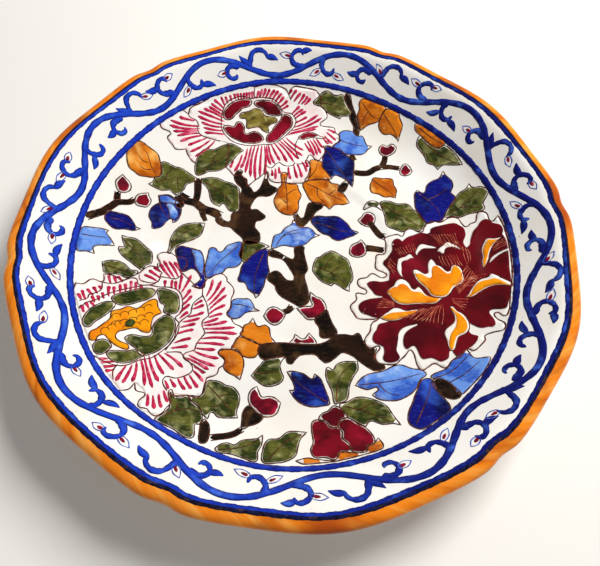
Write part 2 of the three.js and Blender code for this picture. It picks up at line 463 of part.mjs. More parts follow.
// Every painted field of the well, cut back from the fields before it
function paintedFields() {
  const bed = toSolid(paintLayer([...FLOOR_STATIONS, LINE_INNER - SIDE_GAP]));
  const fields = [];
  let taken = null;
  for (const [group, outlines] of Object.entries(FIELDS)) {
    for (const [name, text] of Object.entries(outlines)) {
      const places = readOutline(text);
      const inner = bed.intersect(stamp(new THREE.Shape(drawnIn(places, SIDE_GAP))));
      const field = taken ? inner.subtract(taken) : inner;
      const whole = stamp(new THREE.Shape(places));
      taken = taken ? taken.add(whole) : whole;
      fields.push({ group, name, geometry: toGeometry(largestBody(field)) });
    }
  }
  return fields;
}

// ---------- pieces ----------

const plate = new THREE.Group();

function addPiece(name, geometry, color, roughness) {
  const mesh = new THREE.Mesh(geometry, new THREE.MeshStandardMaterial({ color, roughness, metalness: 0 }));
  mesh.name = name;
  plate.add(mesh);
}

function clayBody() {
  const inset = GLAZE + GAP;
  const back = along(BACK_STATIONS, backHeight, inset);
  const face = along([...FACE_STATIONS].reverse(), faceHeight, -inset);
  return turned([[0, FOOT_HEIGHT + inset], ...back, ...lipSection(inset).reverse(), ...face]);
}

function footRing() {
  const top = FOOT_HEIGHT + GLAZE;
  return turned([
    [FOOT_INNER + FOOT_EDGE, 0], [FOOT_OUTER - FOOT_EDGE, 0], [FOOT_OUTER - FOOT_EDGE / 2, FOOT_ROUND],
    [FOOT_OUTER, top], [FOOT_INNER, top], [FOOT_INNER + FOOT_EDGE / 2, FOOT_ROUND],
  ]);
}

function faceGlaze() {
  const under = along(FACE_STATIONS, faceHeight, -GLAZE);
  const over = along(FACE_STATIONS, faceHeight, 0).reverse();
  return turned([...under, ...over]);
}

function backGlaze() {
  const under = along(BACK_STATIONS, backHeight, 0);
  const over = along(BACK_STATIONS, backHeight, GLAZE).reverse();
  return turned([...under, ...over]);
}

function footRecessGlaze() {
  const reach = FOOT_INNER - GLAZE;
  const top = FOOT_HEIGHT + GLAZE;
  return turned([[0, FOOT_HEIGHT], [reach, FOOT_HEIGHT], [reach, top], [0, top]]);
}

const lipBand = () => turned([...lipSection(0).reverse(), ...lipSection(GLAZE)]);

addPiece('clay_body', clayBody(), 0xd9b48c, 0.9);
addPiece('foot_ring', footRing(), 0xd9b48c, 0.9);
addPiece('face_glaze', faceGlaze(), 0xf3efe4, 0.12);
addPiece('back_glaze', backGlaze(), 0xf3efe4, 0.15);
addPiece('foot_recess_glaze', footRecessGlaze(), 0xf3efe4, 0.2);
addPiece('lip_band', lipBand(), 0xe07d14, 0.2);
addPiece('rim_line', paintLayer([RIM_LINE_INNER, RIM_LINE_OUTER]), 0x14237a, 0.2);
addPiece('inner_line', paintLayer([LINE_INNER, LINE_OUTER]), 0x1b39b0, 0.2);
addPiece('border_scroll', scrollGeometry(), 0x1b39b0, 0.2);
for (const { group, name, geometry } of paintedFields()) {
  addPiece(`${group}_${name}`, geometry, name === 'dark' ? DARK_FLOWER : COLOURS[group], 0.25);
}

export default plate;
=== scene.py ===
"""Looks of a hand painted ceramic plate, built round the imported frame.

Smooth glaze coats replace the faceted ones. The painting lies on the face as raised enamel: filled fields
first, then brush strokes, then outlines. Places are in millimetres and degrees, and meshes in metres.
"""

import math

import bmesh
import bpy
import numpy as np
from mathutils import Matrix, Vector
from mathutils.geometry import delaunay_2d_cdt


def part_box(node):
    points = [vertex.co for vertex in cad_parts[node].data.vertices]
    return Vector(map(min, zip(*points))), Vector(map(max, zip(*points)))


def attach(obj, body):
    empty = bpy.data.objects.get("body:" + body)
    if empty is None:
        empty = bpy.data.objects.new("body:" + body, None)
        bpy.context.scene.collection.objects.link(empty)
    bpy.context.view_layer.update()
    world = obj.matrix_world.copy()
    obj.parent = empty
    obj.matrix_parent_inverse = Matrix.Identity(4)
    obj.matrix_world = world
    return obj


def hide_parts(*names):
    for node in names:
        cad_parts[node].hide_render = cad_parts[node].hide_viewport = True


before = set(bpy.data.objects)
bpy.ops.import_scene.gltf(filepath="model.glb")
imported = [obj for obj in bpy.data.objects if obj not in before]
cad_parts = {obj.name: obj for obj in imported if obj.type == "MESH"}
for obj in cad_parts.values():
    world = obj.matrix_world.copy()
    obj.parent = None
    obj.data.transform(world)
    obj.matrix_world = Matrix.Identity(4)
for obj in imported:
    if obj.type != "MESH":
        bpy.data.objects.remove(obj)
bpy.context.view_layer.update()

MM = 0.001

# ---------- driving dimensions, as in the frame, in millimetres ----------
GLAZE = 0.4
GAP = 0.05
WELL_DEPTH = 1.0
FLOOR_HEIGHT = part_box("face_glaze")[0].z / MM + GLAZE + WELL_DEPTH
WELL_RADIUS = 42.0
FLOOR_INNER = 48.0
FLOOR_RADIUS = 72.0
LINE_RADIUS = 100.0
LINE_WIDTH = 2.3
WALL_RISE = 10.0
FLANGE_SLOPE = 0.7
SHOULDER_RADIUS = 113.5
CREST_RADIUS = 119.5
CREST_ROLL = 2.2
LIP_RADIUS = 124.0
LIP_UNDER = LIP_RADIUS - 3.2
WALL_THICKNESS = 5.0
FOOT_HEIGHT = 3.5
FOOT_INNER = 46.8
FOOT_OUTER = 54.2
FOOT_EDGE = 1.6

LOBES = 6
NOTCH_ANGLE = 10.7
NOTCH_WIDTH = 2.6
NOTCH_DEPTH = 1.35
LOBE_SWING = 0.75
LIFT_PER_SWING = 0.38

VINE_PEAKS = (5.5, 42.5, 79, 117, 151.5, 185.5, 222, 260.5, 297.5, 330.5)
VINE_RADIUS = 108.95
VINE_SWING = 5.35

# ---------- how finely things are made, in millimetres ----------
TURN_STEPS = 360
LINE_STEP = 0.9
LIP_STEP = 4 / 9
FIELD_GRID = 1.6
PAINT_FOOT = 0.02
FIELD_TOP = 0.06
PETAL_TOP = FIELD_TOP - 0.02       # pale petals, under their strokes
GROUND_TOP = FIELD_TOP - 0.03      # white ground of the dark flower
GAP_TOP = FIELD_TOP + 0.015        # white gaps and yellow edges on the dark flower
OVER_TOP = FIELD_TOP + 0.025       # fields that lie on other fields
STEM_TOP = FIELD_TOP + 0.04
STROKE_TOP = 0.1
LINE_TOP = 0.15
RING_TOP = 0.3                     # the well's cobalt line covers the ends of the painting
FULL_COVER = 9.0                   # margin given to strokes, which have no bare edge


# ---------- the plate's surface ----------

def smoothstep(value, low, high):
    t = np.clip((value - low) / (high - low), 0, 1)
    return t * t * (3 - 2 * t)


def face_height(r):
    """Height of the glazed face at radius r, before the lobes lift it."""
    r = np.asarray(r, float)
    line = FLOOR_HEIGHT + WALL_RISE
    shoulder = line + (SHOULDER_RADIUS - LINE_RADIUS) * FLANGE_SLOPE
    floor = FLOOR_HEIGHT - WELL_DEPTH * (1 - smoothstep(r, WELL_RADIUS, FLOOR_INNER))
    wall = FLOOR_HEIGHT + WALL_RISE * ((r - FLOOR_RADIUS) / (LINE_RADIUS - FLOOR_RADIUS)) ** 2
    border = line + (r - LINE_RADIUS) * FLANGE_SLOPE
    roll = shoulder + CREST_ROLL * (1 - ((CREST_RADIUS - r) / (CREST_RADIUS - SHOULDER_RADIUS)) ** 2)
    return np.select([r <= FLOOR_RADIUS, r <= LINE_RADIUS, r <= SHOULDER_RADIUS], [floor, wall, border], roll)


def back_height(r):
    """Height of the glazed back at radius r."""
    r = np.asarray(r, float)
    share = np.clip((r - SHOULDER_RADIUS) / (LIP_RADIUS - SHOULDER_RADIUS), 0, 1)
    wall = face_height(np.minimum(r, SHOULDER_RADIUS)) - WALL_THICKNESS
    return np.where(r <= FLOOR_RADIUS, FOOT_HEIGHT, wall + CREST_ROLL * np.sin(share * math.pi / 2))


def lobe(angle):
    """How far the lobed lip swings outwards at an angle in degrees."""
    period = 360 / LOBES
    turn = (np.asarray(angle, float) - NOTCH_ANGLE) / period
    from_notch = (turn - np.round(turn)) * period
    wave = LOBE_SWING * np.cos(np.radians(from_notch * 2 * LOBES))
    return wave - NOTCH_DEPTH * np.exp(-(from_notch / NOTCH_WIDTH) ** 2)


def lobe_share(r):
    """How much of the lobes' swing reaches radius r."""
    return smoothstep(r, LINE_RADIUS + LINE_WIDTH / 2, LIP_RADIUS)


def on_plate(r, angle, z):
    """Plate place of a section's point, with the lobes' swing and lift."""
    swing = lobe(angle) * lobe_share(r)
    turn = np.radians(angle)
    reach = r + swing
    return np.stack([reach * np.cos(turn), reach * np.sin(turn), z + swing * LIFT_PER_SWING], axis=-1)


def face_at(plan):
    """Height of the face over plan places."""
    angle = np.degrees(np.arctan2(plan[:, 1], plan[:, 0]))
    reach = np.hypot(plan[:, 0], plan[:, 1])
    r = reach
    for _ in range(3):
        r = reach - lobe(angle) * lobe_share(r)
    return face_height(r) + (reach - r) * LIFT_PER_SWING


def polar(angle, r):
    """Plan places of angles in degrees and radii."""
    turn = np.radians(angle)
    return np.stack(np.broadcast_arrays(r * np.cos(turn), r * np.sin(turn)), axis=-1)


# ---------- meshes ----------

def make_object(name, vertices, faces, smooth=True):
    """A mesh object from places in millimetres."""
    mesh = bpy.data.meshes.new(name)
    mesh.from_pydata((np.asarray(vertices, float) * MM).tolist(), [], faces)
    mesh.polygons.foreach_set("use_smooth", [smooth] * len(mesh.polygons))
    mesh.update()
    piece = bpy.data.objects.new(name, mesh)
    bpy.context.scene.collection.objects.link(piece)
    return piece


def face_outwards(piece):
    """Turns all faces of a closed mesh outwards."""
    work = bmesh.new()
    work.from_mesh(piece.data)
    bmesh.ops.recalc_face_normals(work, faces=work.faces)
    work.to_mesh(piece.data)
    work.free()


def turned(name, section, steps=TURN_STEPS):
    """A closed section of (radius, height) points turned about the axis.

    A section that starts and ends on the axis gives a disc, and any other one a ring.
    """
    on_axis = section[0][0] == 0
    rings = section[1:-1] if on_axis else section
    angles = np.arange(steps) * 360 / steps
    vertices = [on_plate(np.full(steps, r), angles, z) for r, z in rings]
    vertices = np.concatenate(vertices)
    bands = len(rings) - 1 if on_axis else len(rings)
    faces = []
    for ring in range(bands):
        near = ring * steps
        far = (ring + 1) % len(rings) * steps
        for step in range(steps):
            after = (step + 1) % steps
            faces.append((near + step, near + after, far + after, far + step))
    if on_axis:
        first = len(vertices)
        vertices = np.vstack([vertices, [0, 0, section[0][1]], [0, 0, section[-1][1]]])
        last_ring = (len(rings) - 1) * steps
        for step in range(steps):
            after = (step + 1) % steps
            faces.append((first, after, step))
            faces.append((first + 1, last_ring + step, last_ring + after))
    piece = make_object(name, vertices, faces)
    rounds = np.degrees(np.arctan2(vertices[:, 1], vertices[:, 0]))
    keep_values(piece, way=np.abs(rounds) * math.pi / 180 * LIP_RADIUS,
                across=np.hypot(vertices[:, 0], vertices[:, 1]))
    face_outwards(piece)
    return piece


def keep_values(piece, **values):
    """Stores a number for each vertex under each name, for materials to read."""
    for label, numbers in values.items():
        layer = piece.data.attributes.new(label, "FLOAT", "POINT")
        layer.data.foreach_set("value", np.asarray(numbers, np.float32))


def along(radii, height, drop=0.0):
    """Section points at the given radii, `drop` above a surface."""
    return list(zip(np.asarray(radii, float), height(radii) + drop))


# ---------- drawn lines and fields ----------

def read_line(text):
    """The places in a line's text, and which of them are sharp."""
    words = text.split()
    sharp = [word.endswith("!") for word in words]
    return np.array([[float(number) for number in word.rstrip("!").split(",")] for word in words]), sharp


def bend(start, end, start_way, end_way, t):
    """Hermite curve between two places that leaves and arrives along two directions."""
    t = t[:, None]
    reach = np.linalg.norm(end - start)
    start_pull = start_way / max(np.linalg.norm(start_way), 1e-9) * reach
    end_pull = end_way / max(np.linalg.norm(end_way), 1e-9) * reach
    return ((2 * t ** 3 - 3 * t ** 2 + 1) * start + (t ** 3 - 2 * t ** 2 + t) * start_pull
            + (3 * t ** 2 - 2 * t ** 3) * end + (t ** 3 - t ** 2) * end_pull)


def smooth_line(points, sharp=None, closed=False, step=LINE_STEP):
    """Smooth curve through the points, with corners where they are sharp."""
    count = len(points)
    sharp = sharp or [False] * count
    pieces = []
    for i in range(count if closed else count - 1):
        j = (i + 1) % count
        a, b = points[i], points[j]
        before = points[i - 1] if closed or i > 0 else a
        after = points[(i + 2) % count] if closed or i + 2 < count else b
        start_way = b - a if sharp[i] else b - before
        end_way = b - a if sharp[j] else after - a
        steps = max(1, round(np.linalg.norm(b - a) / step))
        pieces.append(bend(a, b, start_way, end_way, np.arange(steps) / steps))
    if not closed:
        pieces.append(points[-1:])
    return np.vstack(pieces)


def outline(text):
    points, sharp = read_line(text)
    return smooth_line(points, sharp, closed=True)


def open_line(text, step=LINE_STEP):
    points, sharp = read_line(text)
    return smooth_line(points, sharp, step=step)


def is_inside(plan, edge):
    """Which plan places lie inside a closed edge."""
    inside = np.zeros(len(plan), bool)
    for (x0, y0), (x1, y1) in zip(edge, np.roll(edge, -1, axis=0)):
        crosses = (y0 > plan[:, 1]) != (y1 > plan[:, 1])
        if y0 != y1:
            inside ^= crosses & (plan[:, 0] < x0 + (plan[:, 1] - y0) * (x1 - x0) / (y1 - y0))
    return inside


def distance_to(plan, edge):
    """Distance of plan places from a closed edge."""
    nearest = np.full(len(plan), np.inf)
    for a, b in zip(edge, np.roll(edge, -1, axis=0)):
        way = b - a
        share = np.clip((plan - a) @ way / max(way @ way, 1e-12), 0, 1)
        nearest = np.minimum(nearest, np.linalg.norm(plan - a - share[:, None] * way, axis=1))
    return nearest


def brush(line, seed, strength=0.16):
    """Factor by which a hand-held brush varies its width along a line."""
    way = np.concatenate([[0], np.cumsum(np.linalg.norm(np.diff(line, axis=0), axis=1))])
    return 1 + strength * (np.sin(way * 0.9 + seed * 2.3) + 0.7 * np.sin(way * 2.3 + seed * 5.1))


class Enamel:
    """Paint of one colour: raised fields and strokes gathered in one mesh.

    Each vertex keeps its distance from its field's edge in millimetres, and 1 if it is on a stroke's side,
    for the material to read.
    """

    def __init__(self):
        self.vertices = []
        self.faces = []
        self.margin = []
        self.side = []
        self.shapes = 0

    def add(self, vertices, faces, margin, side):
        first = len(self.vertices)
        self.shapes += 1
        self.vertices.extend(vertices.tolist())
        self.faces.extend([tuple(first + i for i in face) for face in faces])
        self.margin.extend(margin)
        self.side.extend(side)

    def field(self, edge, top=FIELD_TOP):
        """A filled field inside a closed edge."""
        low, high = edge.min(axis=0), edge.max(axis=0)
        columns, rows = np.meshgrid(np.arange(low[0], high[0], FIELD_GRID),
                                    np.arange(low[1], high[1], FIELD_GRID))
        columns[1::2] += FIELD_GRID / 2
        grid = np.stack([columns.ravel(), rows.ravel()], axis=1)
        grid = grid[is_inside(grid, edge)]
        grid = grid[distance_to(grid, edge) > FIELD_GRID / 3]
        borders = [(i, (i + 1) % len(edge)) for i in range(len(edge))]
        made = delaunay_2d_cdt([Vector(place) for place in np.vstack([edge, grid])], borders, [], 1, 1e-6)
        plan = np.array([tuple(place) for place in made[0]])
        triangles = [tuple(face) for face in made[2]]
        height = face_at(plan)
        count = len(plan)
        vertices = np.vstack([np.column_stack([plan, height + top]),
                              np.column_stack([plan, height + PAINT_FOOT])])
        faces = triangles + [tuple(count + i for i in reversed(face)) for face in triangles]
        sides = {(face[i], face[(i + 1) % 3]) for face in triangles for i in range(3)}
        faces += [(b, a, count + a, count + b) for a, b in sides if (b, a) not in sides]
        margin = distance_to(plan, edge)
        self.add(vertices, faces, np.tile(margin, 2).tolist(), [0] * len(vertices))

    def stroke(self, line, width, closed=False, top=STROKE_TOP):
        """A brush stroke along a line, highest along its middle; width is one number or one a place."""
        way = np.roll(line, -1, axis=0) - np.roll(line, 1, axis=0) if closed else np.gradient(line, axis=0)
        side = np.column_stack([-way[:, 1], way[:, 0]])
        side /= np.maximum(np.linalg.norm(side, axis=1, keepdims=True), 1e-9)
        side *= (np.broadcast_to(width, len(line)) / 2)[:, None]
        count = len(line)
        edge_top = PAINT_FOOT + (top - PAINT_FOOT) * 0.45
        columns = [(line - side, edge_top), (line, top), (line + side, edge_top),
                   (line + side, PAINT_FOOT), (line - side, PAINT_FOOT)]
        vertices = np.vstack([np.column_stack([plan, face_at(plan) + lift]) for plan, lift in columns])
        faces = []
        for i in range(count if closed else count - 1):
            j = (i + 1) % count
            for column in range(len(columns)):
                near = column * count
                far = (column + 1) % len(columns) * count
                faces.append((near + i, near + j, far + j, far + i))
        if not closed:
            faces.append(tuple(column * count for column in range(len(columns))))
            faces.append(tuple(column * count + count - 1 for column in reversed(range(len(columns)))))
        self.add(vertices, faces, [FULL_COVER] * len(vertices), np.repeat([1, 0, 1, 1, 1], count).tolist())

    def line(self, points, width, closed=False, top=LINE_TOP):
        """A drawn line whose width varies as the brush does."""
        self.stroke(points, width * brush(points, self.shapes), closed, top)

    def tapered(self, points, first, last, top=STROKE_TOP):
        """A stroke that narrows from one width to another, with round ends."""
        share = np.linspace(0, 1, len(points))
        ends = np.minimum(1, np.sqrt(np.minimum(share + 0.01, 1.01 - share) / 0.1))
        width = (first + (last - first) * share) * ends
        self.stroke(points, width * brush(points, self.shapes, 0.1), top=top)

    def dot(self, middle, radius, top=STROKE_TOP):
        """A round spot of paint, a little uneven."""
        turn = np.arange(14) * 2 * math.pi / 14
        reach = radius * (1 + 0.12 * np.sin(2 * turn + self.shapes) + 0.06 * np.sin(5 * turn))
        self.field(np.array(middle) + np.column_stack([reach * np.cos(turn), reach * np.sin(turn)]), top)

    def finish(self, name, material, slot, *replaced):
        """The piece with this paint, riding on the plate."""
        piece = make_object(name, self.vertices, self.faces)
        keep_values(piece, margin=self.margin, side=self.side)
        face_outwards(piece)
        return settle(piece, material, slot, *replaced)


def settle(piece, material, slot, *replaced):
    """Gives a piece its material and its place in the object."""
    piece.data.materials.append(material)
    if replaced:
        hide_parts(*replaced)
    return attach(piece, "root")


# ---------- the painting's outlines ----------
# Each is a closed outline of "x,y" places in millimetres, smoothed between them; a ! marks a sharp tip.

OLIVE = {
    "left_upper":
        "-70,48 -67.4,48.5 -63.3,47 -60,46.5 -56.9,44.5 -53.7,42.2 -51.5,40.4 -53,38.5 -56.2,36.5 "
        "-57,33.5 -58.7,31.3 -60.3,29.7! -62.4,31.3 -63.7,32.6 -68.3,32.2 -74.6,34.7! -72.8,36.5 -72,39 "
        "-69.6,40.4",
    "left_mid":
        "-81.9,4! -78.7,3.5 -76.5,3.5 -73.3,2 -70,-1 -66.9,-3.5 -66,-7.1 -66.2,-9.8 -68.3,-10.5 "
        "-69.6,-13.7! -71.5,-12.5 -74.6,-10.3 -77.8,-8.2 -81.2,-5.3 -82.1,-2.3 -79.9,-2.1 -81,1.1",
    "left_low":
        "-87.4,-12.1! -84.6,-10.5 -81,-9.9 -77.8,-11.2 -74.6,-13.7 -71.5,-14.1 -72.4,-16.2 -76,-18 "
        "-79.2,-16.9 -85.5,-17.1 -86.5,-14.8",
    "mid":
        "-44.2,14.2! -49.5,14 -54,12.8 -56.5,10.8 -59,5.8 -59.3,-0.5 -59.4,-3.5 -58.3,-3.9! -57,-0.7 "
        "-53.7,1.9 -51.3,3.1 -48.1,4.9 -45.4,7.6",
    "rear":
        "-52,43 -53.5,48 -53,54 -50,59.5 -45.5,60 -38,64.5 -34,63.5 -30,60.5! -33,57 -35,53 -38,49 "
        "-41,46.5 -46,45.5 -49,43.5",
    "center":
        "-49.5,40.1 -47.2,41.3 -44,42 -40.8,41.5 -37.2,39.9 -34.5,39.2 -31.7,37.6 -29.9,35.8 -29.5,32.2 "
        "-29,23.5 -32.2,22.6 -34,23.5 -36.7,26.7 -38.5,24.7! -41.3,25.8 -43.5,29 -44.9,34 -47.2,37",
    "top_right":
        "4.8,91.5 7.1,94.2 9.8,96.7 12.5,97.1 16.2,95.1 20.3,95.3 21.2,93.3 23.5,89.2 25.7,86.9! "
        "23.9,85.1 20.3,85.1 19.4,83.7! 16.2,85.1 12.1,87.4 8.9,89.9",
    "right_top":
        "60.7,71.5 59.3,66.9 61.4,63.3 63.2,60.5 64.5,56.9 67.7,55.1 69.5,52.4! 71.8,54.4 75.5,53.7 "
        "80.9,52.6! 78.2,57.8 75.5,61.5 72.3,64.2 70,63.3 66,66 63,69",
    "right_a":
        "72,25.4 72.7,28.1 77.3,35.8 79.1,38.1 82.3,39.9 83.6,42.2! 85,39.9 88.6,39.2 91.6,36.3 90.9,33.5 "
        "89.3,30.4 90,27.4 87.3,26.3 82.7,26 78.2,24.7 75.5,25.8",
    "right_b":
        "40.5,32.2 44.4,33.3 48.5,32 53.9,32 56.8,29 60,25.8 62.5,20.8 60.9,18.1 58.2,16.3 55,17.6 "
        "52.3,16.3 50.7,15.4 47.1,16.7 43.5,18.5 42.5,24 41.2,28.5",
    "arch": "32.1,27.9 33.9,31.7 36.6,32.9 39.8,31.7 41.4,27.6 39,29 36.5,29.6 34,28.6",
    "center_low":
        "8.5,-7.5 9.8,-1.6 12.1,-0.3 13.5,1.3 17.1,3.1 19.8,2 21.6,0.9 24.8,-1.4 26,-4.4 27.3,-11.2 "
        "25.7,-14.8 25.7,-18! 23.5,-17.1 20.7,-15.3 18.5,-14.4 17.5,-15.7! 13,-13.7 9.4,-9.8",
    "calyx":
        "-24.9,5.8 -17.6,5.8 -14.9,4.9 -12.4,3.5! -17.6,0.8 -21.3,-3 -23.1,-5.7 -24.9,-4.4 -26.3,-1.6 "
        "-25.8,1.1",
    "low_center":
        "-15.4,-61.1! -11.7,-55.9 -10.4,-54.1 -5.8,-52.7 -1.7,-51.8! -3.5,-55.5 -2.9,-58.6 -1.7,-61.4 "
        "-3.5,-64.1 -8.5,-65.5 -13.1,-63.2",
    "low_left_a":
        "-34,-65.7 -32.6,-64.3 -28.5,-64.5 -25.8,-65.9 -22.2,-66.8 -19.5,-70 -19.2,-72.7 -19.9,-77.3 "
        "-19.2,-79.8! -26.7,-80.2 -29.9,-78.2 -31,-81.4! -33.5,-79.1 -35.8,-75.9 -39.9,-72.3 -35.4,-71.4 "
        "-34,-68.2",
    "low_left_b":
        "-50.6,-83.6 -48.1,-80.9 -46.5,-77.3 -48.3,-71.4 -47.6,-69.5 -45.8,-72.3 -43.1,-72.7 -40.8,-71.6 "
        "-38.1,-74.5 -34.9,-76.8 -33.1,-80.9 -33.8,-84.1 -35.4,-84.1 -35.6,-90.5 -43.5,-87.3 -50.6,-84.5",
    "bottom_a":
        "-25.8,-94.8 -24,-91.8 -21.3,-91.1 -19,-91.8 -16.3,-89.5 -10.4,-88.2 -8.5,-86.4! -8.5,-90.9 "
        "-9.7,-94.1 -9.9,-98.2 -14.5,-97.3 -19.5,-95.9",
    "bottom_b":
        "-7.2,-98.4 -7.9,-93.2 -6.3,-88.6 -2.2,-87.7 1.6,-84.5 8.9,-84.3! 6.6,-87.3 5.7,-90.9 4.8,-95 "
        "0.7,-97.7 -2,-98.3",
    "low_a":
        "20.7,-53.9 23.5,-52.7 29.4,-52.3! 29.6,-55.9 28,-58.6 26.2,-62.7 25.5,-68.2 24.4,-70 21.6,-70.9 "
        "20,-71.4 18.7,-65.9 16.2,-60.5 16.2,-55.9 17.1,-55.5! 18.9,-56.6",
    "low_b":
        "22.1,-71.4 24.8,-70.5 28.9,-68.2 33,-68 38,-69.5 41.2,-71.4 43.5,-75.5 46.2,-80.2! 43.5,-79.5 "
        "38.9,-79.8 34.4,-78.4 32.5,-80.9! 29.8,-79.5 25.3,-76.8 22.1,-72.7",
    "ring_a":
        "-79.9,-29.8 -78.7,-27.5 -74.2,-25 -68.3,-22.8 -63.3,-22.8 -61.7,-24.8 -63.7,-27.5 -68.3,-29.8 "
        "-72.4,-31.6 -76.5,-32.3",
    "ring_b":
        "-61,-22.8 -56,-22.8 -51.9,-24.8 -50.3,-28.9 -50.5,-33.5 -53.7,-34.8 -56.5,-33.9 -56.7,-30.7 "
        "-58.7,-29.4 -60.1,-26.2",
    "ring_c":
        "-60.1,-40.7 -57.8,-37.1 -54.6,-35.3 -51.5,-37.1 -50.3,-41.6 -51.5,-47.1 -55.1,-51.6 -58.3,-54.1 "
        "-62.4,-55.5 -65.1,-52.7 -70.5,-48.5 -68.3,-46.2 -60.5,-45.7",
    "ring_d":
        "-87.8,-41.6 -86.5,-37.1 -83.3,-33 -80.1,-31.4 -77.8,-32.1 -78.3,-34.8 -80.5,-38.9 -83.3,-43 "
        "-85.1,-46.6 -87.4,-45.3",
    "ring_e": "-81,-53.9 -80.1,-51.6 -77.4,-50.7 -74.6,-53 -75.5,-55.9 -76.9,-58.2 -79.2,-58.2 -81,-55.5",
    "ring_f":
        "-75.5,-56.8 -73.3,-55.2 -68.3,-54.3 -65.1,-53.2 -61.5,-55 -63.3,-57.3 -66,-59.5 -69.6,-60.7 "
        "-73.3,-59.8",
}

NAVY = {
    "left_split":
        "-69,29! -66,29.7 -63.3,29.5 -59.2,26.3 -56.7,22.2 -56.7,17.6 -57.8,14.5 -59.6,13.5! -60.3,15.6 "
        "-62.4,14.5 -64.6,10.8 -67.4,9.5 -69,9.9! -69.6,13 -71.5,16.3 -71.5,20.4 -70,23 -67.8,25 -68,27.2",
    "left":
        "-90,15.4 -87.8,15.4 -83.3,15.6 -80.5,14.7 -77.8,11.7 -76.5,9.7 -74.2,9! -76.9,7.6 -81,7.6 "
        "-85.5,6.7 -88.3,8.1 -90.5,10.8",
    "center_right":
        "6.6,20.1 8.9,22.6 13.5,22.6 18,23.1 20.7,22.4 24.4,19 26.6,15.8 29.8,14.5! 27.5,12.4 24.4,11 "
        "20.3,9 17.5,9.9 15.7,11.5 12.5,12.6 9.4,15.4",
    "upper":
        "11.2,66.7! 13.5,66 17.1,65.8 20.7,63.7 23.5,61 27.1,57.8 27.1,49.5 27.1,45.8 26.6,40.6! "
        "24.4,43.5 22.5,45.4 18,47.6 16,45.4! 13.5,49 11,52.6 11,54.2 11.2,59.2 12.1,62.8",
    "right":
        "59.1,41! 62.3,39.5 64.1,44 66.8,46.5 70,47.6 72,51.3! 73.2,48.8 75.9,45.4 76.4,42.2 75.5,39 "
        "77.3,36.3 76.8,33.5 73.6,29.9 71.8,25.8 70,23.1 66.8,22.4 62.7,21.3 58.2,28.5 57.5,33.1 "
        "57.7,38.5",
    "center":
        "-14.9,2 -12.6,1.5 -12.9,-2.5 -12.2,-7.1 -11.5,-10.7 -12.9,-13.9 -13.5,-18 -15.4,-22.5 "
        "-16.7,-24.1! -17.6,-22.1 -20.4,-19.8 -22.2,-16.6 -25.4,-15.7 -24.9,-11.6 -24.2,-7.1 -21.3,-3 "
        "-18.1,0.6",
    "left_inner":
        "-56,-0.7 -53.7,0.6 -51.3,0.2 -46.7,-0.7 -44.5,-1.6 -42.6,-4.8 -41.5,-9.8 -40.4,-16.2 -40.4,-20.3 "
        "-42.2,-21.4 -45.8,-20.3! -43.1,-17.5 -42.6,-15.3 -46.7,-11.2 -51.3,-13 -53.7,-8.5 -55.5,-3.9",
    "low":
        "-0.4,-58.6! 2.1,-58.2 6.6,-59.1 10.3,-61.1 11.2,-58.9! 13.9,-60.9 15.7,-65 18,-71.4 16.2,-72.3 "
        "11.2,-73.2 6.6,-72.3 3,-69.5 1,-66.6! 3,-66.4 2.3,-63.2",
    "low_right":
        "55.9,-60 58.6,-58.6 60.5,-59.5 62.3,-65 65.5,-73.6 59.1,-79 54,-82.3 51.6,-81.8 49.4,-79.5 "
        "49.4,-75.5 51.6,-70 53.9,-64.5",
}

SKY = {
    "left":
        "-98.3,2 -93.3,4.5 -90.5,5.1 -87.8,4.9! -88.5,3.5 -86,0.6 -84,-2.3! -87.4,-3 -92.1,-5.3 "
        "-91.2,-8.9! -94.6,-8.9 -97.8,-9.8",
    "center":
        "-1.7,19.5 -2.6,17.2 -5.8,14.5 -7.6,11.5 -10.4,9.9 -11.3,5.8 -11.5,2.6! -9.5,3.1 -5.8,4.7 -0.8,4 "
        "0.7,4.2 4.8,6.3 7.5,9.5 11.4,11.7! 9.4,12 7.5,14.5 5.3,15.6 0.7,15.8",
    "upper":
        "19.1,74.9 21.6,76.9 27.1,76.2 28.5,74 31.6,73.7 33.9,68.5 36.6,67.8! 34.4,65.5 32.5,62.8 "
        "29.4,61.7 22.1,62.1 19.8,64.6 16.2,66 17.5,68.7 19.8,70.1",
    "center_left":
        "-25.8,4.9 -30.4,4 -32.6,2.6 -34,-0.1 -35.8,-0.8 -38.1,1.3 -40.4,0.8 -40.8,-2.5 -41.3,-11.6 "
        "-39.5,-15.3 -35.8,-13 -33.1,-12.1 -31.3,-9.4 -27.6,-8.7 -25.1,-6.2 -24.9,-3",
    "small":
        "-27.2,-26.4 -25.4,-25 -22.2,-24.8 -19.5,-24.8 -17.6,-27.1 -16.7,-29.1 -14.2,-30.4! -17.6,-30.7 "
        "-20.4,-31.6 -22.6,-33.9 -25.8,-35 -28.8,-33 -27.6,-29.8",
    "low_a":
        "28.5,-63! 30.7,-60 33.9,-57.7 40.3,-55.9 44.4,-53.6 48,-52.7 52.5,-54.1 56.8,-54.8 58.4,-56.8 "
        "55.9,-59.1 53.2,-64.1 49.4,-67.3 45.7,-68.9 41.2,-69.1 38,-68.4 35.5,-66.8! 38,-63.6 33.5,-64.5",
    "low_b":
        "60.2,-58.2 61.8,-56.4 66.8,-54.1 69.5,-50.5 75.9,-45.3! 78.2,-49.8 83.9,-51 71.4,-66.8 "
        "69.1,-66.4 68.2,-62.7 65,-59.5",
}

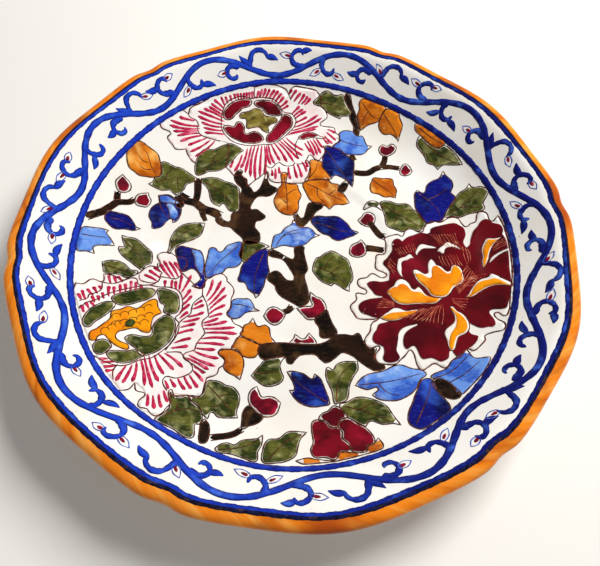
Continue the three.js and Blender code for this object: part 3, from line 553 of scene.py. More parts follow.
ORANGE = {
    "left":
        "-85.5,49.5 -86,46.7 -84.4,40.8 -81.9,39.5 -79.2,38.1 -76.9,38.3 -72.4,39 -69.6,40.8 -69.6,45 "
        "-71,49 -72.4,52 -76.9,54.2 -79.5,55.4 -82,55",
    "center":
        "-9.5,47.2 -6.7,47.2 -6.3,41.7 -1.3,41 -0.4,38.1 1.2,34.5 0.1,30.8 0.1,25.8 -2.2,22.6 -6.3,22.6 "
        "-9.5,24.5 -11,26.7 -12.2,30.8 -11,34.9 -10.6,38.1 -9,40.4",
    "pair_lower":
        "1.6,41.3 2.5,43.1 7.1,44.2 14.4,44.2 16.2,42.6 19.8,41.7 19.4,38.5 22.1,37 25.3,31.7! 22.5,30.4 "
        "18,29.9 15.5,27! 13,29.2 8,30.4 5.7,32.2 3.5,36.3",
    "pair_upper":
        "4.6,56 6,56.9 10.3,56 11.2,52.6 14.4,48.1 16.2,45.4! 14.4,44.6 7.1,44.6 2.7,43.6 3.9,46.3 "
        "4.8,51.7",
    "top_a":
        "30.3,92.8 29.1,91 29.4,88.3 28.5,85.5 29.4,81.5 30.5,77.1! 34.4,79.9 39.8,81.7 41.6,85.1 43,87.6 "
        "36.6,90.8 33,92.4",
    "top_b":
        "43.5,86.9 40.7,83.7 39.8,79.2 40.7,76.5 43,74.4 46.2,74.2 49.4,71.5 50,69.9! 50.7,73.3 51.9,77.8 "
        "50.3,81.9 49.8,83.9",
    "right_top": "58.6,77.8 58.2,75.1 60.9,71.7 63.6,68.3 67,65 70,63.5 72.3,64.6 73,66 66,72.8",
    "small":
        "37.1,47.2 41.6,47.2 46.6,47 47.5,43.1 48.7,40.4 48,35.4! 45.7,36 42.5,35.6 39.8,37.2 36.2,38.1 "
        "35.5,42.6 36.6,45.8",
    "low_upper":
        "-17,-34.1! -18.5,-36.6 -20.6,-38 -21,-40.3 -21.7,-42.8 -11.7,-47.1 -6.3,-45.3! -8.5,-42.5 "
        "-9.5,-38.5 -11.7,-37.1 -14.5,-38",
    "low_middle":
        "-22.2,-43.9 -24,-47.1 -24.9,-49.6 -22.2,-50 -19.5,-52.8 -14.9,-53 -13.5,-51.2 -13.1,-47.1",
    "low_lower":
        "-30.4,-51.8 -28.5,-50.2 -24.9,-50 -21.3,-51.4 -19.2,-54.5 -19,-58.2 -19.9,-63.2! -22.2,-61.8 "
        "-25.8,-60 -27.6,-57.7 -27.2,-55",
    "bud_calyx":
        "5,-97! 9.4,-95.5 12.5,-95.9 20.3,-95.9 21.6,-92.7 31.6,-92.3 32.5,-89.5 35.3,-88.2 36.9,-85.9! "
        "38.5,-88.6 38.2,-90.6 32,-93 20.7,-96.4 13.9,-97.5 8,-98.2",
}

BRANCHES = {
    "trunk":
        "-31.3,47.6 -29.2,47.2 -29.5,44 -26.7,42.2 -26,39 -24,37 -22.2,34.9 -19.5,38.1 -18.5,40.8 "
        "-17.2,46.7 -17,48.1! -15.4,40.8 -11.3,38.1 -11.3,36.3 -14.9,33.1 -20.4,32.2 -22.6,28.5 "
        "-23.1,24.5 -20.4,24.7 -17.6,22.6 -15.6,20.4 -18.1,18.1 -19.9,17.6 -20.1,14 -17.6,10.4 -17.6,5.8 "
        "-20.4,4.5 -24,4.5 -25.8,7.6 -29.9,11.3 -32.2,13.3 -35.8,13.8 -38.5,15.4 -39.5,17.6 -38.1,19.9 "
        "-35.8,17.2 -32.6,16.7 -32.2,20.4 -31.3,22.2 -29,23.1 -29.2,32.2 -28.5,35.8 -31.3,39 -33.1,43.1",
    "center":
        "-0.2,4 3.9,4.5 3.9,2 5.7,-5.3 6.2,-7.8 4.8,-11.2 6.2,-16.2 7.1,-20.7 7.1,-24.8 3.5,-27.1 "
        "0.7,-25.7 -4.5,-23 -7.6,-19.8 -8.5,-17.1 -12.2,-13.9 -11.3,-11.2 -8,-9.4 -3,-13.9 0.2,-13.4 "
        "-2,-8 -6,-3 -12,-1.4 -12.2,2 -8.5,1.1 -4,-1.5 -0.6,-2.4",
    "lower":
        "-13.5,-48.9 -12.6,-47.1 -5.8,-45.5 0.1,-45.3 10.7,-45.5 16.2,-43.5 19.8,-40.3 24.4,-40 "
        "27.1,-40.3 29.8,-39.1 31.6,-42.1 33.9,-45.7 37.5,-45.5 36.6,-48.5 37.1,-51.6 41.2,-54.1 "
        "37.5,-55.9 34.4,-55 29.8,-51.8 27.1,-49.8 23,-48.5 20.3,-50.7 16.2,-53.7 13.9,-52.5 11.2,-50.3 "
        "5.3,-50.7 3,-52.7 1.2,-55 -0.6,-54.5 -2,-51.8 -10.8,-53.6 -13.1,-51.4",
    "bud_stem": "10.3,-33 12.5,-37 13,-41 14.5,-42 18,-41.5 20.5,-39 18,-34 16.5,-30 15.5,-28 13,-30",
    "right_upper":
        "21.6,95.3 24.1,95.1 25.3,91 27.5,86 29.4,79.6 29.4,74.2 27.1,75.5 26.6,79.6 24.4,84.6 25.2,87 "
        "22.5,91",
    "right_lower": "23.5,44.5 24.4,42.2 22.1,37.6 19.8,38.1 20.3,41.3",
    "below_pair":
        "5.7,30.4 12.1,29.5 8.9,24.9 5.7,19.5 2.1,15.8 -0.2,17.6 -1.5,24 2.1,20.8 3.9,24.9 4.4,28.1",
    "dark_leaf": "60.5,-59.8 65,-59.8 68.2,-62.7 70.5,-66.8 68.6,-69.1 65,-68.2 62.3,-65.5",
    "bud_calyx":
        "-15.1,-74.1 -17.2,-76.8 -17.4,-80.9 -16.7,-84.5 -14.5,-83.2 -10.8,-81.4 -9,-78.6 -12.2,-76.8",
    "black_leaf": "-32.2,-81.4! -29.9,-84.1 -29.2,-89.1 -29.9,-92 -32.2,-92 -33.3,-86.4 -33.1,-83.2",
    "knot": "-60,26.5 -58.3,27.6 -56.3,26 -55.8,23.5 -57.5,22.2 -59.3,23.2",
}

# Branches and stems drawn as one brush stroke: their route, then their width at each end
STEMS = (
    ("-97.8,8.5 -94.6,11.5 -91.5,14.5 -89,18 -86.5,21 -81.5,22.8 -79.5,25", 3.0, 2.4),
    ("-87.3,26.5 -87.2,24 -87,21.5", 2.2, 2.6),
    ("-51,41 -50.4,36 -50,30 -50.6,25.6", 3.4, 2.6),
    ("-61,28.6 -54,26.5 -50,25.5 -46,22.5 -41,21 -37,19.5", 3.2, 4.2),
    ("-46.5,21.5 -45.6,18.5 -44,15.5", 2.6, 1.4),
    ("-58.5,31 -56.4,29.6 -54,28", 1.8, 2.4),
    ("35,21 37.5,17 40,13.5 42.5,12.5", 2.4, 2.8),
    ("33,5.8 38.9,5.4 42.1,4.9", 3.0, 2.6),
    ("25.6,61.7 26.4,60 27.8,57.9", 3.0, 1.6),
    ("27,50 34,50 38,53 41.5,54.5", 3.0, 2.8),
    ("41.5,54.5 42.8,58 43.5,62", 2.8, 2.2),
    ("41.5,54.5 46,54.8 50.7,54.2", 2.6, 2.2),
    ("-4,-30.3 -1.7,-29.4 0.1,-27.1", 2.0, 2.8),
    ("-16.7,-84.5 -20.4,-87.3 -28.5,-89.5", 2.2, 2.4),
)

MAROON = {
    "rear_a":
        "-41.5,78.3 -42.1,81.2 -40.4,84.6 -37.2,87.6 -32.6,89.6 -28.5,89.9 -27.9,88.5 -29.5,86.5 "
        "-32.6,85.1 -34,83.3 -35.8,81.5 -37.6,79 -39.5,78",
    "rear_b":
        "-26.7,88.7 -24.9,90.1 -20.8,90.8 -16.3,90.5 -13.5,88.3 -11.5,85.1 -13.5,83.7 -17.6,83.7 "
        "-20.4,84.6 -22.2,86.5 -24.9,87.1",
    "rear_c":
        "-11.3,84.2 -9,84.9 -6.3,83.3 -5.6,80.1 -6.7,76.9 -9.5,73.3 -12.2,69.6 -14.9,67.4 -18.1,66.9 "
        "-18.8,69.6 -18.1,72.4 -16.3,74.6 -14.5,78.7 -12.2,81.5",
    "rear_d":
        "-41.5,74.2 -39,75.1 -36,75.1 -35.4,76.9 -34,78 -32.2,77.6 -30.8,75.5 -30.6,72.8 -29.2,71.5 "
        "-27.2,72.8 -24.9,73.5 -22.6,72.6 -20.8,70.5 -20.1,68.7 -22.2,66.5 -25.8,65.5 -30.4,65.8 "
        "-34.9,67.4 -38.5,69.6 -40.8,71.9",
    "rear_e": "-2,71 -0.6,73.3 2.5,75.1 5.7,75.1 9.4,72.8 12.1,71.9 8.5,71.5 3.9,71.5 0.3,70.1",
    "bud_top":
        "19.4,-72.3 17.5,-74.5 14.6,-76.1 13.7,-78.9 16.2,-79.1 18.5,-81.4 21.4,-81.4 22.5,-78.2 "
        "25.3,-76.8 23.9,-74.5 21.6,-72.7",
    "bud_left":
        "11.6,-79.1 10.7,-81.8 11.6,-88.6 10.7,-91.8 12.1,-95 16.2,-95 20.3,-95.7 22.5,-92.3 26.6,-92.3 "
        "25.3,-88.6 23,-86.4 23,-83.6 21.6,-81.6 18.5,-81.8 16.2,-79.1",
    "bud_right":
        "21.6,-81.4 22.5,-78.2 25.3,-77.3 29.8,-80 32.5,-81.4 35.3,-85.5 35.3,-88.6 33,-89.5 32.1,-92.1 "
        "26.8,-92.1 25.4,-88.6 23.2,-86.4 23.2,-83.6",
}

# Yellow petals of the dark red flower: the bare outline round each, then the yellow inside it
YELLOW_EDGES = (
    "55.1,-5.6 56.8,-5.1 58.7,-6.1 60.7,-7.2 62.1,-6.4! 62.1,-2.2 62.9,0 64,1 65.4,-0.3 66.2,-1.9 "
    "68.4,-2.8 70.1,-4.6 71.2,-5.2 72.6,-4.6! 73.3,-2.2 75.1,-1.4 77.3,-3.1 78.3,-6.1 78.2,-10 76.2,-12.2 "
    "73.4,-13.9 72.1,-16.1 70.1,-18.3 67.3,-19.2 64,-18.9 62.3,-17.8 61.2,-15.8 59.6,-13.9 57.3,-11.7 "
    "55.9,-9.4",
    "42.6,-18.3 43.7,-16.1 45.9,-14.4! 46.8,-12.2 48.4,-10.8 50.7,-10.8 52.9,-12.5 54.3,-15.3 55.4,-15.8! "
    "57.1,-14.2 58.4,-15 59.8,-17.2 60.9,-18.3! 64,-19.2 67.9,-19.4! 66.2,-21.1 64,-22.5 59.6,-22.8 "
    "55.1,-23.3 51.2,-23.9 47.9,-23.6 45.7,-22.2 44,-20",
    "39.3,-30.9! 41.2,-29.2 43.2,-27.5 45.4,-25.8 47.9,-25.6 51.2,-26.7 54,-26.1 57.3,-25.6! 55.7,-27.2 "
    "52.9,-28.9 50.1,-30.3 47.3,-31.7 44.6,-32.2 41.2,-31.9",
    "70.9,-23.6! 72.3,-23.3 74,-25.6 76.2,-27.2 77.9,-30 78.4,-32.8 77.9,-35.6 76.2,-37.5 73.4,-38.9 "
    "72.3,-41.7 71.2,-44.7 69.8,-45.6 68.7,-43.9 68.4,-40.6 67.6,-37.8 67.9,-35.6 70.1,-33.3 72.3,-31.1 "
    "72.6,-28.3 71.8,-26.1",
    "77.9,-18.9! 79.6,-17.2 81.2,-14.4 83.4,-11.4 85.7,-9.7 88.7,-9 89.8,-7.6 91.8,-8.6 94,-10.9 "
    "96.8,-13.9 97.6,-16.1! 94,-14.7 90.7,-14.2 87.9,-14.7 84,-16.9 81.2,-18.6",
    "87.1,-4.4! 86.8,-1.1 87.3,2.2 87.1,5.6 87.6,7.8 88.7,10 89.8,11.4 92.9,10.8 95.7,10.6! 93.4,8.6 "
    "91.5,6.1 90.4,3.3 89.6,0 87.9,-3.3",
)
LEFT_HEART = (
    "-61,-28 -59.4,-31.6 -57.4,-34.4! -60.5,-36.6 -61,-40.3 -61,-43.9 -64.2,-44.1 -66.5,-42.8 -68.7,-43 "
    "-71.5,-44.4 -73.7,-45.7 -74.2,-48.5 -71.9,-50.3 -68.7,-51.2 -68.3,-53.5 -72.8,-52.7 -76.5,-50.3 "
    "-78.7,-48.5 -80.5,-49.8 -81,-52.1 -82.8,-52.5 -83.7,-48.5 -81.9,-46.2 -80.1,-43 -78.3,-39.8 "
    "-78.3,-36.2 -75.1,-34.4 -72.4,-32.5 -68.3,-33 -65.1,-29.8"
)
YELLOW = {
    "left_heart": LEFT_HEART,
    "crown":
        "55.8,-7.2 57,-7.2 58.7,-7.2 60.7,-8.4 62.6,-9.2 63.7,-8.4! 63.8,-5 64.5,-3 65.7,-2.4 67.3,-3.2 "
        "69,-4.8 71,-6.3 72.6,-6! 73.6,-3.4 74.6,-1.9 76.6,-3.4 77.6,-6.1 77.6,-9.6 75.6,-11.8 73.2,-12.8 "
        "71.9,-14.8 70.2,-17.4 67.3,-18.5 64.2,-18.3 62.4,-17 61.6,-15.2 59.9,-13.4 57.9,-11.4 56.6,-9.4",
    "left":
        "42.9,-18.2 44.2,-16.2 46.2,-15 47.5,-14.8 48.7,-13.4 50.7,-13.2 52.4,-14.4 54,-16.4 56.2,-16.9 "
        "58.4,-16.9 60,-18.4 63.6,-19.3 66.6,-19.6! 65.2,-21.3 63.6,-22.1 59.6,-22.4 55.1,-22.8 "
        "51.2,-23.4 48.1,-23 46.1,-21.8 44.4,-19.9",
    "low_left":
        "39.9,-30.8! 42,-29.4 44.6,-28.2 48,-27.6 52,-27 56.4,-26.1! 54.8,-27.6 52.4,-28.8 49.9,-30.1 "
        "47,-31.3 44.4,-31.8 41.4,-31.6",
    "low":
        "71.2,-23.9! 72.2,-24.2 73.6,-26 75.6,-27.8 77.2,-30.4 77.6,-32.8 77.2,-35.2 75.6,-36.9 73,-38.2 "
        "71.6,-41 70.8,-43.8 69.9,-45 69.1,-43.6 69.3,-40.6 70.4,-37 72.4,-34 73.2,-31.4 73.2,-28.3 "
        "72.2,-26",
    "right":
        "78.4,-18.8! 80.4,-17.2 81.8,-14.6 83.8,-12 86.2,-10.8 88.8,-10.5 91.2,-10.3 93.6,-12.2 "
        "96.4,-15.2! 93.6,-14.2 90.6,-13.7 87.7,-14.2 83.8,-16.4 80.9,-18.2",
    "top_right":
        "87.4,-3.8! 87.3,-1.1 87.8,2.2 87.7,5.4 88.4,7.8 89.3,9.4 90.1,10.7 92.6,10.1 94.4,9.9! 92.4,8.2 "
        "90.8,6.1 89.8,3.3 89,0",
}

KHAKI = {
    "rear_heart":
        "-33.3,82.4 -30.4,83.7 -27.6,85.1 -26.3,86 -22.2,85.5 -21.3,83.7 -19,82.8 -14.9,82.6 -14,80.5 "
        "-16.7,78.7 -18.5,76.9 -18.1,73.3 -21.3,74.6 -23.1,76.2 -26.7,75.5 -29.5,74.9 -29.9,78.7 "
        "-30.4,80.1 -33.5,80.1",
}

RIGHT_PEONY = (
    "42.3,11.7 45.7,13.1 48.5,13.8 50.7,12.9 52.3,16.3 55,17.4 58.2,16 60.7,16.3 61.4,18.5 62.7,20.8 "
    "65.9,22.6 69.5,22.2 73.2,24.5 75.5,25.1 78.2,24 79.3,21.7 81.4,19.2 83.6,20.8 85.7,21.3 86.4,24.9 "
    "87.7,26.3 90.5,24.9 92.3,19.9 95,22.2! 96.4,18 97.8,10 98.3,0 97.8,-10 96.2,-18 94.5,-27.5! "
    "92.5,-30.7 90,-28.2 88.6,-28.9 89.5,-31.6 91.8,-34.4 90.9,-37.5 87.3,-38 83.6,-39.4 83.6,-41.2 "
    "81.8,-43.5 79.5,-45.7 78,-46.2 76.4,-45 72.7,-48.9 69.5,-50.3 66.4,-53.9 62.3,-51.6 59.1,-53.6 "
    "56.8,-54.8 55,-52.7 52.7,-45.7 49.8,-48.5 48,-50.3 45.7,-52.5 41.6,-52.8 38,-52.1 37.1,-48.9 "
    "38.9,-44.8 34.4,-45.7 32.5,-42.1 34.8,-38 35.7,-33.9 38.9,-31.2 36.6,-31.9 29.8,-31.6 28,-29.4 "
    "26.2,-25.7 28.9,-22.1 28.9,-18.9 33,-18.9 33.5,-17.1 29.8,-14.8 29.8,-11.6 33.5,-10.3 36.2,-8 "
    "40.7,-10 43,-8.5 41.6,-7.1 38,-5.3 38,-0.3 38.5,2.2 42.1,3.1 42.8,9.5"
)

# Petal edges of the two pale flowers, each an open line
PETAL_EDGES = (
    # left flower: outer edge, from the inner cobalt line round the top, the right and the bottom
    "-94.6,-29.8 -94.6,-26.4! -91.9,-25.7 -90.1,-22.8 -88.7,-21.9 -85.1,-22.1 -85.5,-18! -81,-18 "
    "-77,-19.5 -74,-17 -71,-15.3 -66.9,-11.2 -62.4,-11.6! -62,-9 -64,-5.5 -62,-3.5 -58,-3.5 -54.5,-5.5 "
    "-51,-6 -49.6,-9 -51.5,-13.5 -51,-14! -47,-17.5 -42,-21 -40.4,-17.5 -39,-15 -33.5,-12.5 -30.8,-14.4 "
    "-30.4,-16.2! -27.6,-18.9 -26.7,-21.6 -27.6,-25.3 -27.2,-29.4 -28.8,-33! -26.7,-34.8 -24.9,-37.5 "
    "-22.2,-38.5 -20.6,-40.7 -22.2,-43.9! -24,-46.6 -24.9,-49.6 -29.9,-50.3 -29.9,-52.7! -27.2,-54.5 "
    "-27.6,-57.3 -29.2,-58.6 -29.9,-61.4 -33.8,-63.2! -34.5,-66.4 -34.9,-70.5 -36.7,-72.3 -40.8,-71.6 "
    "-45.8,-72.3 -48.3,-71.4! -46.5,-75.9 -47.6,-78.2 -49,-81.4 -50.8,-82.7 -52.8,-81.8 -54.6,-80 "
    "-57.8,-79.5 -58.3,-76.8 -56.9,-73.2 -60.5,-72.3 -61.9,-68.6! -63.3,-72.3 -66.5,-73.6",
    # left flower: ring round the dark petals
    "-90.5,-38.5 -88.5,-34.5 -86,-32.5 -82.5,-28.5 -78.5,-25.5 -72.5,-22.8 -66,-21 -60.5,-21.6 -55,-21.6 "
    "-51,-23.6 -48.8,-28.6 -49,-34 -51,-36.4 -49,-39 -49,-44 -51,-48.5 -54.5,-52.6 -58,-56 -62.5,-57.8 "
    "-66.5,-60.9 -70,-62.1 -75,-61.4 -79.5,-59.6",
    # left flower: edges between the petals
    "-39.5,-15 -40.8,-20 -40.5,-24.5! -38,-29 -36.5,-34.5! -39,-38 -37,-43! -40,-48 -40.5,-51! -45,-54 "
    "-40.5,-57.5 -34.5,-61",
    "-40.5,-25 -44,-29 -44.5,-34! -49,-39 -50,-46! -53,-52",
    "-52.3,-52.8 -46.6,-52.5 -44.8,-54.3 -40.9,-57.9 -40.3,-60.4 -42.3,-62.5 -46.6,-64.3 -50.5,-64 "
    "-51.6,-66 -50.5,-68.6 -49,-70.4",
    "-70.2,-61.4 -71,-65 -69.8,-69",
    "-63,-9.4 -62.9,-11.6 -60.3,-14.3! -60.9,-15.9 -57.6,-16.6 -53.4,-16.9 -50.7,-13.8",
    "-70.5,-15.9 -69.8,-18.4 -66,-19.6 -62,-19.4 -60.9,-17.4 -60.9,-15.9",
    "-85.2,-22.5 -84.8,-26.4 -87.3,-29.3 -88.7,-30.4 -88.7,-32.1 -91.2,-34.6",
    "-84.8,-22.5 -80.9,-22.1 -76.6,-19.6 -73.7,-17.9 -71.2,-18.2 -70.1,-20.7 -66.6,-21.1 -62.3,-20",
    # rear flower: ring round the dark petals
    "-43,78 -42.6,82 -41,86 -37.5,89 -33,90.8 -28,90.6 -26,91.4 -21,92 -16,91.6 -12.8,88.6 -10.6,86 "
    "-6.5,85.4 -4,82.5 -4.5,78.5 -7.5,74 -11,69.6 -15,66 -20.5,65.2 -26,64 -31,64.3 -36,66 -40.4,69.6 "
    "-42.6,73.4 -43,78",
    # rear flower: outer petals, from the lower left round the top to the right
    "-53.7,50.5 -56.5,53 -58.3,55.5 -59.2,58! -64.2,56.9 -66,59.2 -68.7,61.5 -67.1,64.2! -67.8,65.1 "
    "-71.9,65.5 -72.4,67.8 -70.8,71 -66.5,74.6 -62.5,77 -59.6,76! -58.7,79.2 -54.6,82.4 -50.5,85.5! "
    "-47,89.5 -41,92.3 -35,94.6 -30,96 -26.7,96! -21,97.9 -15,98.3 -13,97.8! -10,96.9 -8.5,94.6 -7.2,92.4",
    "-59.6,76 -58.7,74.9 -55.5,74.2 -54.4,72.4 -54.6,70.1 -53.3,67.8 -51.5,66.9",
    "-26.7,96 -26.9,93.6 -26.7,91.5",
    "-8.5,94.6 -6.4,98.3 -1,98.4 4,97.8 6,97.3! 8.5,94.5 9,90! 11,88.5 12.5,84.5 9,81 9.5,79.5! 13,79 "
    "16.5,78.5 17.5,75.5 19.5,74 19.5,71 17.5,68 16,66! 12.5,66.5 12.2,62 9,56! 7,57.5 4.5,60 3,57! "
    "2,54.5 -1,53.5",
    "-2,71 -3.4,66 -2.8,61 -1,57",
    # rear flower: lower petals
    "-51.5,66.9 -46.5,66 -42.5,65.5",
    "-38,64.5 -37.8,58 -37.5,52! -38,49.5 -36,47 -33,43.5! -30,44.5 -27.4,41.4 -26,37.5! -23,41 -20,44 "
    "-18,47! -18,52",
    "-18,52! -15,50 -12.5,53 -11,54! -8,52 -4,52.5 -3,54.5",
    "-16.4,47.5 -15,42.6 -11.5,41.6 -8,42 -3,41.8 3,43 5,47 5,52 3.4,56.6",
)

# Crimson brush strokes: "outer end/inner end", thick outside and fine inside.
# A number before a pair of strokes says how many are spread from the first to the second.
PETAL_STROKES = (
    # left flower, petals on the left
    "-90.1,-36.4/-88.4,-39.6 -89.1,-34.6/-87.3,-37.1 -87.3,-33.9/-85.5,-35.4",
    "-92.6,-31.1/-90.9,-33.6 -91.6,-28.9/-89.4,-32.9 -90,-27.5/-87.3,-30 -88,-25.7/-85.9,-28.6 "
    "-86.2,-24.6/-84.9,-26.2 -87.6,-30.6/-86,-33.4 -85.5,-29.6/-84.4,-32.1",
    # left flower, row of petals along the top
    "-84.1,-27.5/-82.9,-30.4 -82.1,-23.6/-81.2,-28.6 -80.1,-23.4/-79.3,-27.1 -77.9,-21.8/-77.1,-26.1 "
    "-75.9,-21.1/-75.1,-24.9 -73.6,-19.3/-73,-24.3 -71.2,-19.6/-70.7,-23.7 -69.1,-21.4/-67.6,-22.9",
    "-83.4,-18.2/-81.9,-21.8 -81.2,-18/-79.8,-21.1 -79.8,-17.9/-77.3,-20.4",
    # left flower, the two petals at the top
    "-68.4,-15.7/-62.3,-18.6 -66.6,-13.2/-60.9,-16.8 -64.6,-11.4/-61.2,-13.6",
    "-62,-9.2/-56.6,-15.8 -60.6,-7.8/-54.9,-15.8 -58.2,-8/-53,-15.6 -55.8,-8.2/-51.4,-14.6",
    # left flower, from the top of the ring down its right side
    "-58.4,-17.9/-58,-21.1 -55.1,-17.6/-54.8,-21.8 -53.4,-18/-52.6,-22.1 -50.9,-14.9/-51.2,-22.1 "
    "-46.9,-14.6/-49.8,-22.9 -46.2,-21.8/-49.1,-27.1 -45.1,-25/-48.7,-30 -45.5,-29.3/-49.1,-33.6 "
    "-45.7,-33.2/-48.7,-36.4",
    # left flower, inner petal on the right
    "-40.1,-27.1/-43.2,-29.6 -39.1,-29.3/-43.7,-31.6 -38.7,-32.9/-45.1,-35.4 -40.1,-35.9/-46.9,-38 "
    "-41.6,-38.7/-47.6,-40.7 -42.1,-41.6/-48.4,-43.9 -42.6,-45.7/-49.1,-48.2 -43.4,-49.4/-50.1,-50.7",
    # left flower, outer petals on the right
    "-36.9,-15.7/-38.7,-24.3 -33.1,-16.1/-37.6,-26.4 -30.9,-19.3/-36.6,-28.6 -29.8,-23.2/-35.9,-30.7 "
    "-29.8,-28.2/-35.9,-33.4 -30.5,-32.9/-35.9,-35.2",
    "-31.9,-35.4/-38,-38 -28,-36.6/-37.3,-39 -24.4,-39.4/-36.9,-40.8 -23.1,-42.5/-36.2,-42.9 "
    "-26.2,-45/-37.3,-45.7 -28,-48/-39.1,-47.9 -31.6,-50.4/-39.4,-50.2",
    "-29.8,-54.3/-39.8,-51.8 -30.9,-57.9/-41.6,-53.9 -33.4,-59.6/-42.6,-55.2 -35.1,-61.4/-39.4,-58.8",
    # left flower, petal at the lower right
    "-35.1,-65/-39.8,-60.6 -36.9,-67.9/-40.9,-62.9 -39.4,-68.6/-43,-63.6 -41.9,-69.3/-45.5,-64.6 "
    "-45.9,-68.6/-48.6,-65.2 -48.7,-69.6/-50.6,-66.2",
    # left flower, bottom
    "-44.4,-59.3/-52.3,-53.9 -48,-60.7/-55.1,-54.3 -51.6,-63.2/-56.6,-55.4 -53,-66.8/-58.7,-56.1 "
    "-54.8,-70/-60.5,-57.1 -58,-69.6/-61.9,-58.2",
    "-63,-68.6/-63.4,-60 -66.2,-70/-65,-61.4 -68.7,-69.6/-67.1,-62.1",
    "-77.2,-60.9/-74.4,-59.8 -76.2,-62.1/-71.9,-60.7 -74.8,-63.9/-71.2,-62.5 -73.7,-65.7/-70.9,-64.3",
    "-54.8,-78.9/-55.9,-73.6 -51.9,-79.6/-53.7,-73.9 -49.4,-78.6/-51.6,-72.9 -47.6,-75.7/-50.1,-70.9",
    # rear flower, outer petal on the left
    "-64,73.3/-57,73.8 -68,70.5/-55,71.7 -68.3,68/-55,70.3 -66.3,65.7/-55,69 -64.2,64/-54.3,67.7 "
    "-62.5,61.5/-52.7,66.7 -58.5,60.3/-50.3,65.7 -57.1,56.7/-48.5,64.6 -54.2,54.5/-46,64.4",
    # rear flower, inner petal on the left
    "-48.7,84.1/-43.3,82 -49.8,82.3/-43,80 -52.3,80.7/-43,78.7 -55,78.8/-42.7,77 -55,76.5/-42.7,75.3 "
    "-53,74/-43,73.7 -51.7,71.5/-42.7,71.7 -51,69/-41.7,69.7",
    # rear flower, top left
    "-47.5,86.1/-42.6,83.4 -44,88.3/-42,85 -41.7,89/-40.3,86.3 -39.3,90.1/-38.3,87.7",
    "7: -37.2,91.2/-36.4,88.9 -27.5,94/-27.8,90.9",
    # rear flower, top right
    "-24.3,94.7/-25.5,91.3 -22.7,95.7/-24,92 -20.9,96.3/-22.3,92.3 -18.7,96.3/-20.7,92 -16,96.3/-18.7,92 "
    "-14,96/-17,91.3 -12.3,95/-15.3,91 -11,93.7/-14,90 -9,92/-12.7,88.7 -8.3,89.7/-11.3,87.7",
    # rear flower, small petals behind on the right
    "-7,97.2/-8.3,95.3 -4.3,97.2/-7,93.3 -2,96/-5.3,92 0,95.7/-3,91 1.7,94.7/-1.3,91 3.3,93.9/0.3,90.7",
    # rear flower, petal on the right
    "-2.3,89.7/-6,85.7 -0.3,88.3/-5,84.3 1.3,87.3/-4.3,83 2,84.3/-3.7,80.7 7.7,85.7/-4,78.3 "
    "9.7,84/-4.7,76.3 8.3,79.3/-5.7,74.3 7,77.3/-7,72.7",
    # rear flower, folded petal at the far right
    "17.3,75.5/13.3,77.3 17.7,70.7/13,75.3 16,68.3/12,73 14,68/11,72",
    "11,65/7.7,70.7 10,61.3/6,70 8.3,60/4.3,69.3 6.7,59.3/3,68.7 5.2,61.6/1.7,67.3",
    # rear flower, petal at the lower right
    "1,62.7/-7.7,70 0.7,59/-9.3,68.7 -1.3,56.7/-10.7,67.3 -3.7,54.7/-12,66.3 -7,54.3/-14,65.7 "
    "-10.7,55/-15.7,65 -13.3,52.7/-17,64.3 -15.3,52/-18,63.7",
    # rear flower, petal at the bottom
    "-35.7,48.7/-34.5,53 -33.3,46.3/-30.7,56.7 -30.3,48.7/-28.3,60.7 -27.8,46/-26.3,62 "
    "-24.9,43.7/-24.3,62.3 -22.3,42/-22.3,62.3 -20.2,44/-20.7,62.7 -18,45.3/-19.3,62.7",
    # rear flower, small petal under it
    "-14,44.9/-14.5,48.7 -12.3,43.3/-12.7,49.3 -10.3,46.7/-10.9,50.7 -4.7,44/-6,50.7 -1.3,44.7/-3.3,52 "
    "1,45.3/-1.7,53.3 3.3,48.7/0.7,54.7 3.7,51.7/2.3,56",
)

